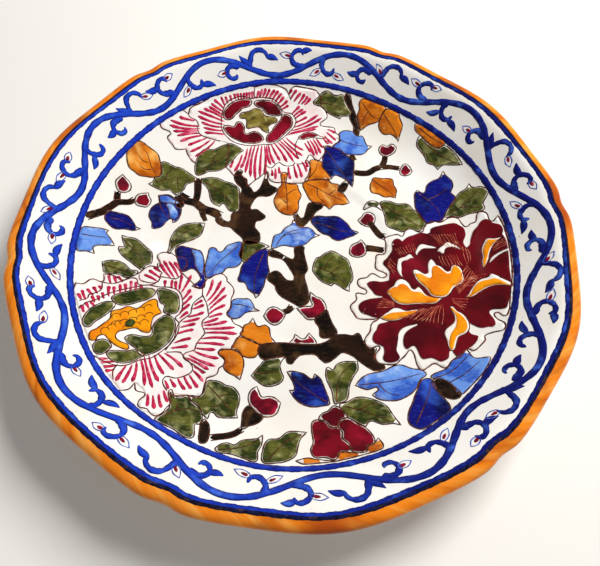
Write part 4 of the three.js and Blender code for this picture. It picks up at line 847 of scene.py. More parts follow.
# The dark red inside that outline, as one field
RIGHT_PEONY_RED = (
    "45.4,7.8 45.7,9.7 47.3,11.4 49.3,11.7 50.6,10.4! 51.8,11.7 53.4,13.1 56.2,14.2 58.4,15.4 60.4,16 "
    "62.5,15.4! 63.9,16.1 64.3,18.1 66.8,19.7 70.1,20.8 74.8,22.1 76.8,21.9 78.7,20.6 80.5,19 81.1,16.9 "
    "81.2,14.7 80.6,12.8 79.9,10.8 80.9,8.2! 82.2,9.4 82.6,11.6 83.2,13.9 84.3,16.7 86.2,18.9 87.3,20.8 "
    "89,22 90.9,21.9 92.1,20.1 93.7,18.8 95.3,18 96.4,16.4 96.9,14.4 96.4,12.2! 97.2,10 97.7,7.8 97.9,0 "
    "97.5,-6 97.4,-12.2 96.9,-16.6 96.5,-19.7 95.2,-23 93.9,-26.6 92.3,-27.2 88.4,-26.6 87.3,-27.5 "
    "87.9,-29.7 88.7,-31.9 88.7,-34.1 87.7,-35.6 85.7,-35.2 83.7,-35.5 81.8,-35 79.8,-33.6 78.6,-32.6! "
    "78.1,-36! 79,-37.6 81.3,-38.5 81.3,-40.3 80.1,-42.3 78.2,-44.2 75.7,-45.7 73.4,-47.8 71.3,-48.6 "
    "70.4,-47.2 69.9,-45.8! 69.2,-46 68.6,-49 66.8,-50.4 64.8,-51 62.9,-50 61.2,-49.2 59.6,-49.5 "
    "57.3,-49.8 55.9,-47.8 55.1,-45.6 54,-43.9 52.6,-44.4 51.2,-45.5 49.7,-45 49.1,-43.1 49.1,-40.8 "
    "49.9,-38.1 51.8,-35.8 55.6,-33.4! 51.8,-34.5 49,-36.1 47.7,-38.3 47.4,-41.1 46.9,-43.9 46.6,-46.1 "
    "47.7,-48.3 47.9,-50 46.2,-51.5 43.4,-52.2 40.9,-51.6 40,-50 40.6,-47.8 40.3,-45 38.4,-44.2 "
    "36.7,-43.4 35.6,-41.7 36.1,-38.9 37.5,-36.7 38.6,-33.9 40.9,-33.1 42.6,-32.4! 40.4,-31.5 36.5,-31.2 "
    "33.4,-29.8 30.7,-28.4 29.6,-25.2 31,-23 33.4,-21.6 36.8,-20.6 40.4,-20.2! 37.3,-19.2 35.9,-17.2 "
    "34.2,-15.3 33.5,-13.3 34.8,-12.1 37.3,-11.6 40.7,-11.8 43.6,-11.2! 43.9,-8.9 43.9,-6.7 42.5,-4.4 "
    "41.2,-2.8 41.2,-1.1 42.8,0.6 43.9,2.2 45.4,5"
)

# White gaps between its petals; the first places of each, up to the sharp one, carry the drawn edge
WHITE_GAPS = (
    "50.4,-10! 48.4,-7.8 47.6,-5 47.9,-1.9 48.4,0 50.4,1.1 51.8,1.7 52.9,2.8 54,3.3 55.1,2.2 55.9,0.9! "
    "54.3,1 52.6,-0.3 50.7,-0.8 49.7,-2.2 49.8,-4.4 49.7,-7.8",
    "57.2,2.4! 56.5,3.9 57.3,6.1 58.7,8.6 60.4,9.2 62.9,8.6 65.1,8.3 67.1,7.5! 65.4,7.1 62.9,6.9 60.7,6.7 "
    "58.7,5.3 57.6,3.6",
    "66.9,5.6! 68.4,7.8 70.1,9.2 71.5,10.8 72.9,11 74.8,10 76.8,8.9 78.4,6.6! 76.8,7.6 74.6,8.4 72.3,8.1 "
    "70.7,6.9 70.1,4.7 69.3,4.3 68.4,5.3",
    "89.6,-2! 89.8,-1.1 90.7,0.8 92.9,2.4 95.7,3.6 98,4.1! 97.7,3 95.7,2.4 93.2,1.1 91.2,-0.6",
)
# Fine pale scratches in the dark red
SCRATCHES = (
    "8: 63,-24.2/54,-31.2 67.8,-22.6/66.8,-32.6",
    "5: 58,-25.2/47,-30.8 62,-25/58,-31",
    "9: 74.4,-13.4/80.5,-1.6 75.4,-17/84.6,-9",
    "5: 72,-19.3/79.4,-19.8 72.6,-21.5/77,-25.6",
    "10: 64.3,14.8/68.4,9.4 76.2,16/79.8,6",
    "3: 79.2,8.6/80.6,-1.4 81.2,7/82,0.6",
    "8: 47,5.6/49.6,2 55.8,9.2/57,5.2",
    "7: 67.8,2.8/69.4,-2 76,4/78.6,-2.6",
    "6: 40.5,-20.9/46,-22.6 37.6,-25.9/45.8,-25",
    "5: 91.4,8/97.4,10.2 91.8,4/97.8,6.2",
    "4: 43.4,-3/46.6,-8.6 44.4,0.4/47.2,-3.4",
    "4: 76,-10.6/88,-7.4 75.6,-12.6/82.4,-12.4",
)

# Veins drawn over the leaves, each an open line
VEINS = (
    "-72,41 -74.5,44.5 -76,48 -77,50.5 -79,52.3", "-76,46 -79,46.5 -81,48.5", "-74,43 -77,42.2 -80,43.5",
    "-73,36 -67,38.5 -61,40.5 -55,40.8", "-67,38.5 -66.4,42.4 -64.6,45.4", "-61,40.5 -60.6,36.6 -59.4,33",
    "-68.6,27 -66.4,21.6 -63.4,17.4 -60.6,15.6", "-98,-1 -93,0 -87.6,1.2", "-89,11.6 -84,12 -78,10",
    "-81,2 -76,-2.4 -71.6,-6.4 -69.4,-11", "-86,-13.4 -80.6,-14 -74.4,-15",
    "-58.6,-2 -56,5 -50,10.5 -45,13.6",
    "-51,44 -45,50 -39,56.4 -33,60", "-45,50 -44.6,55 -42,59", "-48.6,39 -42,36 -36.6,31 -31,25",
    "-42,36 -42.4,31 -40.6,27.4", "-9.5,4 -6,10 2,12.5", "-9,5.6 -5,11.5 1.4,14.4",
    "7.6,19 14,17.4 21,14.8 28,14.2",
    "-8,45.6 -6.4,38 -5.6,31 -5,24.6", "-6,34.5 -3,37.5 -1.2,38.4", "-5.4,29 -8,31.4 -10,33",
    "3,42.4 9,39.6 15,36 23.6,32", "9,39.6 9.6,34.6 13.4,30.4", "15,36 18.6,39.4", "4.6,45 7.6,50 8.6,55",
    "12,65 16,59 20,51.4 25.6,43", "17.6,72.6 23.6,69.4 30,68 35.6,67.6",
    "6,91.6 12,91.4 18,89.6 24.4,87", "30.6,91.4 34,87 36.6,84 40.6,82.4", "34,87 32,83.4 31.4,79.6",
    "42,85 45.4,80 48,75.6 49.8,71", "60,75.6 64,71.6 68,68 71.6,65.2", "61.6,69.4 68,62.6 74,57 80,53",
    "37,46 40.6,42.6 44.6,39.4 47.6,36.4", "58.6,40 64,35.4 68.6,30 70,24", "64,35.4 69,38 74,41.6",
    "73,26.6 79,30 84.6,34.6 87.6,38.6", "79,30 84,29.6 88,28.4", "42,30.4 48,26.4 54,22.6 60,18.6",
    "48,26.4 53,28.4 57,28.2", "46.6,19.6 49.6,24.6", "9.4,-6 14,-7.4 20,-10.4 25,-16.4",
    "14,-7.4 15.4,-3 18.6,0.4",
    "17,-9 20.6,-5.6 24,-3.4", "-14.6,0.6 -17,-8 -18,-15 -17,-22.4",
    "-26.6,3.6 -31,-1.4 -35.6,-7 -39.4,-13.4",
    "-27.4,-27.6 -22,-28 -16,-30", "-14.4,-60.4 -9.6,-59.6 -3.6,-58.8",
    "-33,-66.4 -28,-71 -23,-76 -20,-79.2",
    "-28,-71 -23.6,-69.6", "-26.6,-74.6 -30,-76", "-47.6,-82 -44,-79 -39.4,-77.6 -35,-78.6",
    "-44,-79 -43.6,-75",
    "-25,-94.4 -19,-93.4 -13,-91 -9.2,-87.4", "-5.8,-97.6 -2.6,-93 1.4,-88.6 7.6,-84.8",
    "17.6,-71.2 11,-67.6 5,-63.6 1,-59.4", "20.6,-70.6 21,-64 22.6,-58.4 27.6,-53.2",
    "23.4,-72 30,-73.6 37,-76 44.6,-79.8",
    "30,-73.6 34.6,-71 39,-70.4", "30,-62.6 38,-61.4 46,-59.6 56.6,-56.2", "38,-61.4 42,-65.4 47,-66.8",
    "61.6,-58.6 68,-56 74,-50.6 77.6,-46.4", "66,-61.6 73,-57.6 80,-51.6",
    "51.6,-80.6 55.4,-73 58.6,-65.6 60,-60",
)

# Buds of the branches, each filled dark red inside a bare margin
BUDS = (
    "-86.5,36! -82.4,32.2 -82.6,28.5 -86,26.7 -87.8,27.6 -89,31.3 -87.8,34",
    "-73.7,29.7! -73.5,28.1 -71.9,25.4 -73.3,21.7 -76,21.5 -78.7,22.2 -79.4,25.8 -77.8,28.3",
    "29.4,21.5! 31.6,24 32.5,25.8 34.8,26.5 37.5,24.5 37.8,21.7 35.7,18.1 31.6,19",
    "25.5,2.6 26.4,6.7 29.8,9 31,10.4! 32.5,8.5 33.5,5.8 33,2.2 29.8,0.4 26.6,1",
    "53.6,57.1 55.9,55.1 57,52.4! 55.5,50.4 52.3,49.7 50.7,51.3 51.8,55.5",
    "40.2,66.4 42.2,68.6 44.6,67.6 46.4,68.9 48.9,67.2 48.6,64.6 46.2,62.4 43.9,61.4! 41,63",
    "-12.4,-32.8! -10.4,-28.9 -7.6,-28 -4.9,-29.4 -3.1,-30.7 -2.9,-32.1 -4.9,-35.7 -7.6,-36.9 -10.4,-35.3",
    "-12.6,-65.7! -14.9,-67.5 -15.8,-70.5 -14.9,-73.6 -12.2,-76.4 -8.5,-78.6 -4,-77.3 -2.2,-72.3! "
    "-4.9,-70.2 -7.6,-69.8 -10.1,-70.2 -11.7,-67.7",
    "7.8,-19.4! 10.3,-21.4 13.5,-23 15.5,-27.1 14.6,-29.4 12.4,-31.4 10.3,-33 7.1,-33.2 5.3,-31.6 "
    "2.1,-28! 6.2,-26.9 9,-26.2 8,-23.5",
    "-0.6,-45.5! 1.4,-43 2.1,-40.7! 5.7,-42.8 8.2,-39.8! 11.2,-43.5 11.5,-45.3! 5,-45.6",
)

# Scales on the heart of the left flower: middle, and the way they face in degrees
SCALES = [((-63.5 - 3.1 * i, -32.6 - 1.5 * i), 130) for i in range(5)]
SCALES += [((-62.5 - 3.2 * i, -36.4 - 1.5 * i), 120) for i in range(5)]
SCALES += [((-64 - 3.2 * i, -40 - 1.6 * i), 110) for i in range(3)]
SCALES += [((-74 - 2.2 * i, -41.8 - 2.4 * i), 150) for i in range(3)]

# Whole outlines of the two pale flowers
PALE_FLOWERS = {
    "left":
        "-94.6,-29.8! -94.2,-26.6 -91.9,-25.7 -90.1,-22.8 -85.1,-22.1 -85,-18.4! -77,-19.5 -71,-15.3 "
        "-66.9,-11.2 -62.4,-11.6 -64,-5.5 -62,-3.5 -58,-3.5 -54.5,-5.5 -51,-6 -49.6,-9 -51,-14! -47,-17.5 "
        "-42,-21! -39,-15 -33.5,-12.5 -30.8,-14.4 -26.7,-21.6 -27.6,-25.3 -28.8,-33! -24.9,-37.5 "
        "-20.6,-40.7 -24,-46.6 -24.9,-49.6 -29.9,-50.3! -27.2,-54.5 -29.9,-61.4 -33.8,-63.2! -34.9,-70.5 "
        "-40.8,-71.6 -48.3,-71.4! -46.5,-75.9 -49,-81.4 -52.8,-81.8 -57.8,-79.5 -56.9,-73.2 -61.9,-68.6! "
        "-66.5,-73.2! -72.5,-66.8 -81.5,-55.4 -88.5,-43.4",
    "rear":
        "-53.7,50.5 -59.2,58! -64.2,56.9 -68.7,61.5 -67.1,64.2! -71.9,65.5 -72.4,67.4 -66.5,73 -62.5,76 "
        "-59.6,76! -58.7,79.2 -50.5,84 -47,86.3 -41,89.4 -35,91.8 -26.7,94.8! -21,96 -13,97.4! -8.5,94.6 "
        "-6.4,97.8 -1,98 6,97.3! 9,90! 11,88.5 12.5,84.5 9.5,79.5! 16.5,78.5 19.5,74 19.5,71 16,66! "
        "12.5,66.5 12.2,62 9,56! 7,57.5 4.5,60 5,52 5,47 3,43 -3,41.8 -11.5,41.6 -15,42.6 -16.4,47.5! "
        "-18,47 -20,44 -23,41 -26,37.5! -30,44.5 -33,43.5! -38,49.5 -37.5,52! -38,64.5! -42.5,65.5 "
        "-51.5,66.9! -52.5,60",
}


# ---------- materials ----------

def paint(red, green, blue):
    """A linear colour from the 0 to 255 values of a screen colour."""
    levels = [level / 255 for level in (red, green, blue)]
    return tuple(v / 12.92 if v <= 0.04045 else ((v + 0.055) / 1.055) ** 2.4 for v in levels) + (1.0,)


class Nodes:
    """Short calls for building one material."""

    def __init__(self, name, roughness, coat=0.0, specular=0.5):
        self.material = bpy.data.materials.new(name)
        self.material.use_nodes = True
        self.tree = self.material.node_tree
        self.shader = self.tree.nodes["Principled BSDF"]
        self.shader.inputs["Roughness"].default_value = roughness
        self.shader.inputs["Specular IOR Level"].default_value = specular
        self.shader.inputs["Coat Weight"].default_value = coat
        self.shader.inputs["Coat Roughness"].default_value = 0.06
        self.coordinates = self.tree.nodes.new("ShaderNodeTexCoord").outputs["Object"]

    def put(self, socket, value):
        if isinstance(value, bpy.types.NodeSocket):
            self.tree.links.new(value, socket)
        else:
            socket.default_value = value

    def noise(self, size, detail=3.0, stretch=(1, 1, 1), turn=0.0, distortion=0.0):
        """Noise with patches about `size` millimetres across; stretch divides that along each axis."""
        mapping = self.tree.nodes.new("ShaderNodeMapping")
        mapping.inputs["Rotation"].default_value = (0, 0, math.radians(turn))
        mapping.inputs["Scale"].default_value = tuple(1 / (size * MM * s) for s in stretch)
        self.put(mapping.inputs["Vector"], self.coordinates)
        texture = self.tree.nodes.new("ShaderNodeTexNoise")
        texture.inputs["Scale"].default_value = 1.0
        texture.inputs["Detail"].default_value = detail
        texture.inputs["Distortion"].default_value = distortion
        self.put(texture.inputs["Vector"], mapping.outputs["Vector"])
        return texture.outputs["Fac"]

    def streaks(self, width, length, slant):
        """Brush streaks across a turned piece, leaning along it; sizes are in millimetres."""
        way, across = self.attribute("way"), self.attribute("across")
        joined = self.tree.nodes.new("ShaderNodeCombineXYZ")
        leaning = self.math("ADD", way, self.math("MULTIPLY", across, slant))
        self.put(joined.inputs["X"], self.math("DIVIDE", leaning, width))
        self.put(joined.inputs["Y"], self.math("DIVIDE", across, length))
        texture = self.tree.nodes.new("ShaderNodeTexNoise")
        texture.inputs["Scale"].default_value = 1.0
        texture.inputs["Detail"].default_value = 4.0
        self.put(texture.inputs["Vector"], joined.outputs["Vector"])
        return texture.outputs["Fac"]

    def attribute(self, name):
        node = self.tree.nodes.new("ShaderNodeAttribute")
        node.attribute_name = name
        return node.outputs["Fac"]

    def math(self, operation, first, second):
        node = self.tree.nodes.new("ShaderNodeMath")
        node.operation = operation
        self.put(node.inputs[0], first)
        self.put(node.inputs[1], second)
        return node.outputs["Value"]

    def between(self, value, low, high):
        """0 below low, 1 above high and smooth between them."""
        node = self.tree.nodes.new("ShaderNodeMapRange")
        node.interpolation_type = "SMOOTHSTEP"
        self.put(node.inputs["Value"], value)
        node.inputs["From Min"].default_value = low
        node.inputs["From Max"].default_value = high
        return node.outputs["Result"]

    def mix(self, share, first, second):
        node = self.tree.nodes.new("ShaderNodeMix")
        node.data_type = "RGBA"
        self.put(node.inputs["Factor"], share)
        self.put(node.inputs["A"], first)
        self.put(node.inputs["B"], second)
        return node.outputs["Result"]

    def finish(self, colour, height=None, depth=0.05):
        """Sets the colour and, from a height, a bump of `depth` millimetres."""
        self.put(self.shader.inputs["Base Color"], colour)
        if height is not None:
            bump = self.tree.nodes.new("ShaderNodeBump")
            bump.inputs["Strength"].default_value = 0.5
            bump.inputs["Distance"].default_value = depth * MM
            self.put(bump.inputs["Height"], height)
            self.put(self.shader.inputs["Normal"], bump.outputs["Normal"])
        return self.material


WHITE = paint(248, 246, 241)
WARM_WHITE = paint(243, 237, 226)
SPECK = paint(150, 130, 104)


def white_glaze_colour(nodes):
    """Warm white glaze, cloudy, with a few iron specks."""
    clouds = nodes.between(nodes.noise(24), 0.4, 0.75)
    colour = nodes.mix(clouds, WHITE, WARM_WHITE)
    specks = nodes.between(nodes.noise(1.3, detail=1), 0.8, 0.84)
    return nodes.mix(specks, colour, SPECK)


def white_glaze():
    nodes = Nodes("white_glaze_look", roughness=0.14, coat=0.3)
    return nodes.finish(white_glaze_colour(nodes), nodes.noise(3.5, detail=4), depth=0.03)


def bare_clay():
    nodes = Nodes("bare_clay_look", roughness=0.85)
    colour = nodes.mix(nodes.between(nodes.noise(5), 0.35, 0.7), paint(214, 178, 138), paint(188, 146, 104))
    colour = nodes.mix(nodes.between(nodes.noise(0.8, detail=1), 0.66, 0.72), colour, paint(120, 84, 56))
    return nodes.finish(colour, nodes.noise(0.5, detail=4), depth=0.15)


def ochre_band():
    """Ochre in slanting brush strokes, with rust where it pools, and painted shade where the lip turns under.
    """
    nodes = Nodes("ochre_look", roughness=0.2, specular=0.35)
    light, main = paint(255, 172, 72), paint(246, 136, 22)
    colour = nodes.mix(nodes.between(nodes.streaks(5.0, 22.0, 1.6), 0.4, 0.75), main, light)
    colour = nodes.mix(nodes.between(nodes.streaks(9.0, 14.0, 1.6), 0.5, 0.8), colour, paint(190, 88, 8))
    rust = nodes.between(nodes.noise(34, detail=3), 0.52, 0.7)
    colour = nodes.mix(rust, colour, paint(180, 78, 12))
    # Painted shade: darker towards the lip's edge and under it, where the lip turns away from the light
    reach = nodes.math("ADD", nodes.attribute("across"), nodes.noise(4))
    edge = nodes.between(reach, LIP_RADIUS - 0.6, LIP_RADIUS + 1.4)
    colour = nodes.mix(nodes.math("MULTIPLY", edge, 0.45), colour, paint(130, 56, 10))
    return nodes.finish(colour, nodes.streaks(2.4, 9.0, 1.6), depth=0.04)


def field_paint(name, main, deep, light, bare=1.0, patch=5.0):
    """Enamel of a filled field: mottled, with an uneven bare margin inside its outline.

    bare is the margin's mean width, or 0 for none, and patch the size of the mottling, in millimetres.
    """
    nodes = Nodes(name, roughness=0.2, specular=0.25)
    colour = nodes.mix(nodes.between(nodes.noise(patch * 2.2, detail=4), 0.42, 0.6), main, deep)
    pale = nodes.between(nodes.noise(patch * 1.9, detail=5, distortion=0.5), 0.5, 0.78)
    colour = nodes.mix(pale, colour, light)
    fine = nodes.between(nodes.noise(0.9, stretch=(4, 0.8, 1), turn=40, detail=3), 0.5, 0.8)
    colour = nodes.mix(nodes.math("MULTIPLY", fine, 0.28), colour, light)
    if bare > 0:
        reach = nodes.math("MULTIPLY", nodes.noise(2.6, detail=3), bare * 2)
        covered = nodes.between(nodes.math("SUBTRACT", nodes.attribute("margin"), reach), -0.1, 0.25)
        colour = nodes.mix(covered, white_glaze_colour(nodes), colour)
    return nodes.finish(colour, nodes.noise(1.8, detail=3))


def petal_wash():
    """White petals with a faint uneven pink in them."""
    nodes = Nodes("petal_wash_look", roughness=0.2, specular=0.35)
    colour = nodes.mix(nodes.between(nodes.noise(7, detail=3), 0.4, 0.75), WHITE, paint(250, 224, 222))
    return nodes.finish(colour, nodes.noise(3.5, detail=4), depth=0.03)


def stroke_paint(name, main, deep, light, size=1.6):
    """Enamel of brush strokes and lines, darker and paler along them."""
    nodes = Nodes(name, roughness=0.25, specular=0.2)
    colour = nodes.mix(nodes.between(nodes.noise(size, detail=3), 0.4, 0.62), main, deep)
    colour = nodes.mix(nodes.between(nodes.noise(size * 2.2, detail=3), 0.55, 0.75), colour, light)
    return nodes.finish(colour)


def cobalt_paint(name, main, deep, light, size=4.5):
    """Border cobalt with painted shade: brighter on the plate's left, darker on its right, away from the
    light.
    """
    nodes = Nodes(name, roughness=0.2, specular=0.2)
    # Painted shade: the cobalt goes from main on the plate's left to deep on its right
    split = nodes.tree.nodes.new("ShaderNodeSeparateXYZ")
    nodes.put(split.inputs["Vector"], nodes.coordinates)
    side = nodes.between(split.outputs["X"], -60 * MM, 90 * MM)
    base = nodes.mix(side, main, deep)
    colour = nodes.mix(nodes.between(nodes.noise(size, detail=5), 0.45, 0.9), base, paint(12, 18, 90))
    colour = nodes.mix(nodes.between(nodes.noise(size * 1.4, detail=5), 0.5, 0.8), colour, light)
    pooled = nodes.between(nodes.math("ADD", nodes.attribute("side"), nodes.noise(2.0, detail=4)), 0.75, 1.5)
    colour = nodes.mix(nodes.math("MULTIPLY", pooled, 0.75), colour, paint(12, 22, 104))
    return nodes.finish(colour)


# ---------- the plate's body and coats ----------

def lip_section(inset):
    """Outside of the lip from the crest, over the edge and under it, drawn in by `inset`."""
    crest = float(face_height(CREST_RADIUS))
    under = float(back_height(LIP_UNDER))
    corners = np.array([
        [CREST_RADIUS + 0.1, crest - inset],
        [LIP_RADIUS - 2.2 - inset * 0.3, crest - 0.3 - inset],
        [LIP_RADIUS - 0.6 - inset * 0.8, crest - 1.3 - inset * 0.7],
        [LIP_RADIUS - inset, crest - 2.7],
        [LIP_RADIUS - 0.8 - inset * 0.8, under + 0.5 + inset * 0.8],
        [LIP_UNDER, under + inset],
    ])
    return [tuple(point) for point in smooth_line(corners, step=LIP_STEP)]


def face_radii():
    floor = [0, 14, 28, 41]
    step = np.arange(42, 48.5, 0.75)
    rest = np.arange(49, CREST_RADIUS, 1.0)
    return np.concatenate([floor, step, rest, [CREST_RADIUS - 0.2]])


def back_radii():
    return np.concatenate([np.arange(FOOT_OUTER + 0.4, LIP_UNDER - 0.2, 1.5), [LIP_UNDER - 0.1]])


def coat(radii, height, thickness):
    return along(radii, height) + along(radii[::-1], height, thickness)


def make_body():
    inner = face_radii()
    back = back_radii()
    inset = GLAZE + GAP
    section = [(0, FOOT_HEIGHT + inset), *along(back, back_height, inset), *lip_section(inset)[::-1],
               *along(inner[::-1], face_height, -inset)]
    settle(turned("smooth_clay", section), bare_clay(), "clay", "clay_body")
    glaze = white_glaze()
    settle(turned("face_coat", coat(inner, face_height, -GLAZE)), glaze, "white_glaze", "face_glaze")
    settle(turned("back_coat", coat(back, back_height, GLAZE)), glaze, "white_glaze", "back_glaze")
    reach = FOOT_INNER - 0.4
    recess = [(0, FOOT_HEIGHT), (reach, FOOT_HEIGHT), (reach, FOOT_HEIGHT + GLAZE), (0, FOOT_HEIGHT + GLAZE)]
    settle(turned("recess_coat", recess), glaze, "white_glaze", "foot_recess_glaze")
    band = lip_section(0) + lip_section(GLAZE)[::-1]
    settle(turned("ochre_edge", band), ochre_band(), "ochre_enamel", "lip_band")


def make_foot():
    """Foot ring with rounded standing edges."""
    top = FOOT_HEIGHT + GLAZE
    middle = (FOOT_INNER + FOOT_OUTER) / 2
    outer = np.array([[FOOT_OUTER - FOOT_EDGE, 0], [FOOT_OUTER - 0.8, 0.35],
                      [FOOT_OUTER - 0.2, 1.3], [FOOT_OUTER, top]])
    edge = smooth_line(outer, step=0.4)
    inner = np.column_stack([2 * middle - edge[:, 0], edge[:, 1]])[::-1]
    section = [tuple(point) for point in np.vstack([edge, inner])]
    settle(turned("turned_foot", section), bare_clay(), "clay", "foot_ring")


# ---------- the border ----------

# Where the inner line strays from its circle: angle, and millimetres outwards
LINE_WANDER = ((0, 0), (58, -1.2), (103, 1.3), (147, -0.4), (175, -0.4), (222, 0.7), (245, -0.6), (265, 0.7),
               (320, 0.1))
# One letter for each floret of a wave: Leaf, Bud or None
FLORETS_OF_WAVE = ("LBBLBLB", "LLBBLBL", "BBLBLLB", "LBBLBLL", "NLBBLBB",
                   "LBBLBLB", "LLBBLBL", "BBLBLLB", "LBBLBLL", "NLLBLBL")
# A floret's base and tip: degrees after the wave's peak (P) or trough (T), and radius
FLORETS = (("P", 3.3, 105.3, -0.3, 103.6), ("P", 6.8, 106.5, 9.9, 103.6), ("P", 12.4, 113.3, 9.7, 114.2),
           ("P", 15.1, 111.5, 18.4, 112.7), ("T", 3.0, 111.6, -0.1, 110.0), ("T", 7.8, 109.6, 10.3, 113.5),
           ("T", 14.5, 107.7, 17.5, 107.3))
# A tendril's curl, in the same way
TENDRILS = (
    ("P", ((6.2, 112.0), (6.7, 108.4), (5.4, 105.3), (3.6, 105.5), (3.1, 107.9))),
    ("P", ((11.4, 107.0), (14.5, 108.4), (15.2, 111.0), (14.1, 113.6), (12.6, 113.9), (12.0, 112.0))),
    ("T", ((8.2, 107.2), (7.5, 111.0), (6.6, 114.0), (4.8, 115.0), (3.2, 113.5), (2.8, 110.9))),
    ("T", ((10.6, 109.2), (13.4, 109.8), (14.6, 107.6), (13.9, 105.0), (12.4, 104.7), (11.9, 106.0))),
)


def waves():
    """Peak and trough angle of each of the vine's waves, and the next peak."""
    for i, peak in enumerate(VINE_PEAKS):
        following = VINE_PEAKS[i + 1] if i + 1 < len(VINE_PEAKS) else VINE_PEAKS[0] + 360
        yield peak, (peak + following) / 2, following


def circle(radius, steps=720):
    return polar(np.arange(steps) * 360 / steps, radius)


def wander(steps=720):
    """Smooth straying of the inner line round the plate."""
    angles, offsets = zip(*LINE_WANDER)
    values = np.interp(np.arange(steps) * 360 / steps, angles, offsets, period=360)
    for _ in range(60):
        values = (values + np.roll(values, 1) + np.roll(values, -1)) / 3
    return values


def make_lines():
    cobalt = cobalt_paint("line_cobalt_look", paint(26, 58, 188), paint(12, 20, 104), paint(58, 100, 216))
    inner = Enamel()
    ring = circle(LINE_RADIUS + wander())
    inner.stroke(ring, LINE_WIDTH * 1.08 * brush(ring, 3, 0.08), closed=True, top=RING_TOP)
    inner.finish("inner_stroke", cobalt, "cobalt_enamel", "inner_line")
    rim = Enamel()
    angles = np.arange(720) / 2
    stray = 0.25 * np.sin(np.radians(angles * 7)) + 0.2 * np.sin(np.radians(angles * 17 + 40))
    ring = on_plate(CREST_RADIUS - 1.45 + stray, angles, 0)[:, :2]
    rim.stroke(ring, 2.3 * brush(ring, 5, 0.1), closed=True)
    rim.finish("rim_stroke", cobalt, "cobalt_enamel", "rim_line")
    dark = Enamel()
    ring = on_plate(CREST_RADIUS - 0.5 + stray * 0.3, angles, 0)[:, :2]
    near = 0.5 + 0.5 * np.cos(np.radians(angles - 262))
    dark.stroke(ring, (0.7 + 0.8 * near) * brush(ring, 8, 0.12), closed=True, top=LINE_TOP)
    dark.finish("rim_shadow_line", stroke_paint("rim_shadow_look", paint(24, 26, 66), paint(14, 12, 30),
                                               paint(70, 50, 40)), "cobalt_enamel")


def make_scroll():
    """Vine, curled tendrils and leaves of the border, and its outlined buds."""
    scroll, buds, hearts = Enamel(), Enamel(), Enamel()
    vine = []
    for peak, _, following in waves():
        part = np.arange(36) / 36
        vine.append(polar(peak + (following - peak) * part,
                          VINE_RADIUS + VINE_SWING * np.cos(2 * math.pi * part)))
    vine = np.vstack(vine)
    scroll.stroke(vine, 2.7 * brush(vine, 1, 0.07), closed=True)
    for (peak, trough, _), kinds in zip(waves(), FLORETS_OF_WAVE):
        origin = {"P": peak, "T": trough}
        for start, curl in TENDRILS:
            route = polar(*np.array([(origin[start] + angle, r) for angle, r in curl]).T)
            scroll.tapered(smooth_line(route, step=0.5), 2.9, 1.9)
        for kind, (start, *ends) in zip(kinds, FLORETS):
            if kind == "N":
                continue
            base, tip = polar(origin[start] + np.array(ends[::2]), np.array(ends[1::2]))
            route = base + (tip - base) * np.linspace(0, 1, 9)[:, None]
            bow = np.array([-(tip - base)[1], (tip - base)[0]]) * 0.1
            route += np.sin(np.linspace(0, math.pi, 9))[:, None] * bow
            if kind == "L":
                scroll.stroke(route, 0.3 + 2.6 * np.sin(math.pi * np.linspace(0.08, 0.98, 9) ** 0.8))
            else:
                side = np.array([-(tip - base)[1], (tip - base)[0]]) / np.linalg.norm(tip - base) * 1.35
                middle = base + (tip - base) * 0.5
                corners = np.array([base, middle + side, tip, middle - side])
                bud = smooth_line(corners, [False, False, True, False], closed=True, step=0.5)
                buds.line(bud, 0.4, closed=True)
                hearts.tapered(base + (tip - base) * np.linspace(0.14, 0.56, 5)[:, None], 1.5, 0.9)
    bright = (paint(30, 68, 198), paint(13, 22, 108), paint(70, 114, 224))
    scroll.finish("scroll_brushwork", cobalt_paint("scroll_cobalt_look", *bright),
                  "cobalt_enamel", "border_scroll")
    buds.finish("border_bud_outlines", stroke_paint("bud_line_look", paint(70, 104, 208), paint(40, 54, 150),
                                                   paint(140, 166, 226)), "cobalt_enamel")
    hearts.finish("border_bud_hearts", stroke_paint("bud_heart_look", paint(140, 18, 50), paint(96, 12, 36),
                                                   paint(180, 48, 84)), "crimson_enamel")


# ---------- the painting in the well ----------

FIELD_LOOKS = {
    # enamel: (fields, start of its CAD nodes' names, main, deep, light, bare margin, patch size)
    "olive": (OLIVE, "olive_leaf", paint(86, 88, 32), paint(40, 50, 12), paint(170, 168, 112), 0.3, 3.0),
    "navy": (NAVY, "navy_leaf", paint(12, 14, 118), paint(5, 5, 62), paint(60, 104, 214), 0.12, 7.0),
    "sky": (SKY, "sky_leaf", paint(104, 150, 228), paint(48, 92, 192), paint(180, 208, 246), 0.12, 4.5),
    "orange": (ORANGE, "orange_leaf", paint(218, 122, 18), paint(170, 78, 6), paint(248, 186, 96), 0.12, 6.0),
    "branch": (BRANCHES, "branch", paint(36, 20, 9), paint(12, 6, 3), paint(98, 66, 38), 0.1, 6.0),
    "maroon": (MAROON, None, paint(122, 6, 26), paint(80, 3, 14), paint(160, 14, 48), 0.32, 6.0),
    "yellow": (YELLOW, None, paint(252, 158, 8), paint(228, 122, 4), paint(255, 190, 50), 0, 9.0),
    "khaki": (KHAKI, None, paint(124, 108, 44), paint(76, 62, 22), paint(178, 166, 96), 0.12, 2.6),
}
# Pale blue tips that lie on navy leaves
SKY_TIPS = {
    "split_top":
        "-69,28.5! -66,29.2 -63.5,28.8 -60.5,26.6 -57.8,25.2 -59.8,24.6 -63,24.8 -65.5,25 -67.6,25.6",
    "split_side":
        "-64.2,24.2 -61.5,24.2 -59.6,22 -58.2,20 -57.6,18 -58.6,15.8 -60.1,15.4 -61.6,16.8 -62,19 "
        "-63,21.6",
    "inner": "-48.5,-0.9 -46.5,-1.2 -44.6,-0.8 -42.8,-4 -42,-9 -41.8,-14! -43.7,-12.6 -45.7,-9.3 -46.8,-5",
}
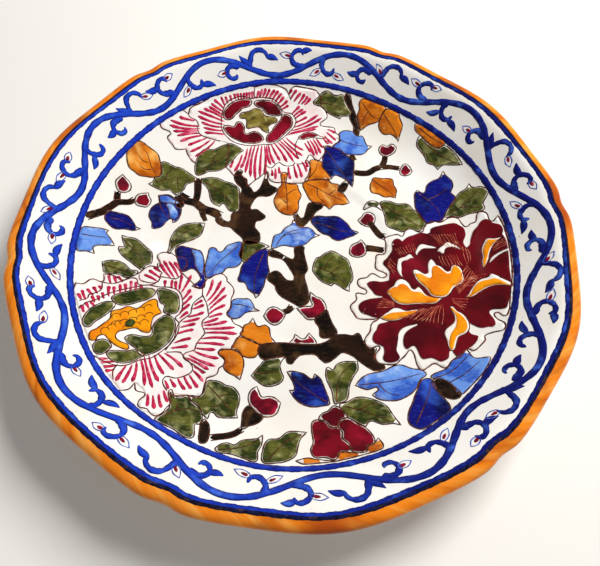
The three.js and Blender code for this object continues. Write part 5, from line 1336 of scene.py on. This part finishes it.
# Enamels that lie on other fields, listed with the slot name of their nearest
# neighbour. Enamels that the record has no slot for take the finish of their nearest
# neighbour
SLOTS = {"yellow": "orange_enamel", "khaki": "olive_enamel"}


def cad_fields(start):
    """CAD nodes of the painted fields whose names start that way."""
    return sorted(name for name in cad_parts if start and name.startswith(start + "_"))


def make_fields():
    """Filled fields of every enamel; gives back their outlines, for more lines to be added."""
    outlines = Enamel()
    for enamel, (shapes, start, main, deep, light, bare, patch) in FIELD_LOOKS.items():
        made = Enamel()
        for text in shapes.values():
            edge = outline(text)
            made.field(edge, OVER_TOP if enamel in SLOTS else FIELD_TOP)
            if enamel != "yellow":
                outlines.line(edge, 0.55, closed=True)
        if enamel == "branch":
            for text, first, last in STEMS:
                route = open_line(text)
                made.tapered(route, first, last, top=STEM_TOP)
                for side in outline_sides(route, first, last):
                    outlines.line(side, 0.45)
        material = field_paint(f"{enamel}_look", main, deep, light, bare, patch)
        made.finish(f"{enamel}_fields", material, SLOTS.get(enamel, f"{enamel}_enamel"), *cad_fields(start))
    tips = Enamel()
    for text in SKY_TIPS.values():
        tips.field(outline(text), OVER_TOP)
        outlines.line(outline(text), 0.4, closed=True)
    tips.finish("sky_tips", field_paint("sky_tip_look", *FIELD_LOOKS["sky"][2:5], 0, 5.0), "sky_enamel")
    return outlines


def outline_sides(route, first, last):
    """Lines along both sides of a stem that is `first` and `last` wide at its ends."""
    way = np.gradient(route, axis=0)
    side = np.column_stack([-way[:, 1], way[:, 0]]) / np.linalg.norm(way, axis=1, keepdims=True)
    reach = side * (np.linspace(first, last, len(route)) / 2 + 0.1)[:, None]
    return route + reach, route - reach


def strokes_in(text):
    """Outer and inner ends of the strokes in a text, with those that are spread between two of them."""
    count, pairs = text.split(": ") if ": " in text else ("0", text)
    ends = [np.array([[float(n) for n in place.split(",")] for place in pair.split("/")])
            for pair in pairs.split()]
    if count == "0":
        return ends
    shares = np.linspace(0, 1, int(count))
    return [(1 - share) * ends[0] + share * ends[1] for share in shares]


def bowed(ends, amount, steps=9):
    """A line between two places that bows to one side by a share of its length."""
    first, last = ends
    share = np.linspace(0, 1, steps)
    side = np.array([-(last - first)[1], (last - first)[0]]) * amount
    return first + (last - first) * share[:, None] + np.sin(math.pi * share)[:, None] * side


def make_flowers():
    """The pale flowers with their edges and strokes, and the dark red flower."""
    washes, edges, strokes = Enamel(), Enamel(), Enamel()
    base, dark, gaps, scratches = Enamel(), Enamel(), Enamel(), Enamel()
    for text in PALE_FLOWERS.values():
        washes.field(outline(text), PETAL_TOP)
    washes.finish("pale_petals", petal_wash(), "crimson_enamel", "flower_left", "flower_rear")
    for text in PETAL_EDGES:
        edges.line(open_line(text), 0.55)
    for text in PETAL_STROKES:
        for outer, inner in strokes_in(text):
            ends = (outer, inner + (inner - outer) * 0.12)
            strokes.tapered(bowed(ends, 0.05 * math.sin(strokes.shapes)), 1.75, 0.8)
    petal = outline(RIGHT_PEONY)
    base.field(petal, GROUND_TOP)
    base.finish("dark_flower_ground", white_glaze(), "maroon_enamel", "flower_dark")
    edges.line(petal, 0.6, closed=True)
    dark.field(outline(RIGHT_PEONY_RED))
    for text in YELLOW_EDGES:
        gaps.field(outline(text), GAP_TOP)
        edges.line(outline(text), 0.5, closed=True)
    for text in WHITE_GAPS:
        gaps.field(outline(text), GAP_TOP)
        drawn = text.split("! ")
        edges.line(open_line(drawn[0] + "! " + drawn[1]), 0.45)
    for text in SCRATCHES:
        for ends in strokes_in(text):
            scratches.line(bowed(ends, 0.08 * math.sin(scratches.shapes)), 0.28)
    edges.finish("petal_outlines", stroke_paint("petal_line_look", paint(106, 44, 34), paint(64, 26, 22),
                                               paint(150, 74, 60)), "crimson_enamel")
    strokes.finish("petal_strokes", stroke_paint("petal_stroke_look", paint(204, 48, 88), paint(164, 22, 60),
                                                paint(232, 112, 140)), "crimson_enamel")
    dark.finish("dark_flower", field_paint("dark_flower_look", paint(106, 4, 18), paint(70, 2, 10),
                                          paint(132, 10, 34), 0.15, 9.0), "maroon_enamel")
    gaps.finish("dark_flower_gaps", white_glaze(), "white_glaze")
    scratches.finish("dark_flower_scratches", stroke_paint("scratch_look", paint(206, 112, 84),
                                                          paint(160, 62, 50), paint(236, 176, 140)),
                     "orange_enamel")


def make_details(outlines):
    """Veins, buds and the outlines of every field."""
    hearts, scales = Enamel(), Enamel()
    for middle, turn in SCALES:
        arc = polar(turn + np.linspace(-95, 95, 9), 1.9) + np.array(middle)
        scales.tapered(arc, 0.5, 0.4, top=LINE_TOP)
    scales.finish("heart_scales", stroke_paint("scale_look", paint(120, 70, 20), paint(80, 44, 14),
                                              paint(150, 96, 30)), "branch_enamel")
    for text in VEINS:
        points = open_line(text)
        outlines.tapered(points, 0.55, 0.3, top=LINE_TOP)
    for text in BUDS:
        edge = outline(text)
        outlines.line(edge, 0.55, closed=True)
        hearts.field(edge)
    outlines.line(outline(LEFT_HEART), 0.55, closed=True)
    outlines.finish("sepia_outlines", stroke_paint("sepia_look", paint(92, 50, 32), paint(54, 28, 18),
                                                  paint(138, 84, 54)), "branch_enamel")
    hearts.finish("bud_hearts", field_paint("bud_look", paint(134, 10, 34), paint(88, 6, 22),
                                           paint(176, 24, 60), 0.6, 4.0), "maroon_enamel")
    eye = Enamel()
    eye.dot((-69.9, -40.7), 2.1, LINE_TOP)
    eye.finish("flower_eye", stroke_paint("eye_look", paint(74, 84, 34), paint(44, 54, 22),
                                          paint(120, 124, 60)), "olive_enamel")


# ---------- floor, light and camera ----------

CAMERA_PITCH = 61.478
CAMERA_ROLL = 3.152
CAMERA_REACH = 262.774
CAMERA_TARGET = (2.996, -21.031)


def make_camera():
    """Looks down on the plate from in front, a little rolled."""
    pitch, roll = math.radians(CAMERA_PITCH), math.radians(CAMERA_ROLL)
    back = Vector((0, -math.cos(pitch), math.sin(pitch)))
    level, up = Vector((1, 0, 0)), Vector((0, math.sin(pitch), math.cos(pitch)))
    right = level * math.cos(roll) + up * math.sin(roll)
    top = up * math.cos(roll) - level * math.sin(roll)
    target = Vector((*CAMERA_TARGET, FLOOR_HEIGHT + WALL_RISE))
    camera = bpy.data.objects.new("camera", bpy.data.cameras.new("camera"))
    camera.data.lens = 36
    camera.data.sensor_width = 36
    camera.data.clip_start = 0.01
    turn = Matrix((right, top, back)).transposed().to_4x4()
    camera.matrix_world = Matrix.Translation((target + back * CAMERA_REACH) * MM) @ turn
    bpy.context.scene.collection.objects.link(camera)
    bpy.context.scene.camera = camera


def make_floor():
    reach = 2500
    corners = [(-reach, -reach, 0), (reach, -reach, 0), (reach, reach, 0), (-reach, reach, 0)]
    floor = make_object("pale_floor", corners, [(0, 1, 2, 3)])
    nodes = Nodes("pale_floor_look", roughness=0.6)
    colour = nodes.mix(nodes.noise(300), paint(250, 248, 243), paint(244, 242, 238))
    floor.data.materials.append(nodes.finish(colour))


def add_light(name, direction, reach, size, power, colour, mirrored=False):
    """A square soft light that faces the plate; the glaze shows its image only if it is mirrored."""
    light = bpy.data.lights.new(name, "AREA")
    light.size = size
    light.energy = power
    light.color = colour
    lamp = bpy.data.objects.new(name, light)
    away = Vector(direction).normalized()
    lamp.location = away * reach
    lamp.rotation_mode = "QUATERNION"
    lamp.rotation_quaternion = away.to_track_quat("Z", "Y")
    lamp.visible_glossy = mirrored
    bpy.context.scene.collection.objects.link(lamp)


def make_light():
    scene = bpy.context.scene
    scene.view_settings.view_transform = "Standard"
    scene.view_settings.look = "None"
    world = bpy.data.worlds.new("studio")
    world.use_nodes = True
    background = world.node_tree.nodes["Background"]
    background.inputs["Color"].default_value = (1.0, 0.98, 0.96, 1)
    background.inputs["Strength"].default_value = 0.24
    scene.world = world
    add_light("window", (0.55, 0.5, 0.88), 1.1, 0.5, 14.0, (1.0, 0.985, 0.96))
    add_light("fill", (-0.5, -0.5, 0.7), 1.6, 1.2, 1.2, (0.95, 0.97, 1.0))
    add_light("glint", (-0.28, 0.5, 0.84), 1.4, 0.04, 0.08, (1.0, 1.0, 1.0), mirrored=True)


make_camera()
make_floor()
make_light()
make_body()
make_foot()
make_lines()
make_scroll()
make_flowers()
make_details(make_fields())
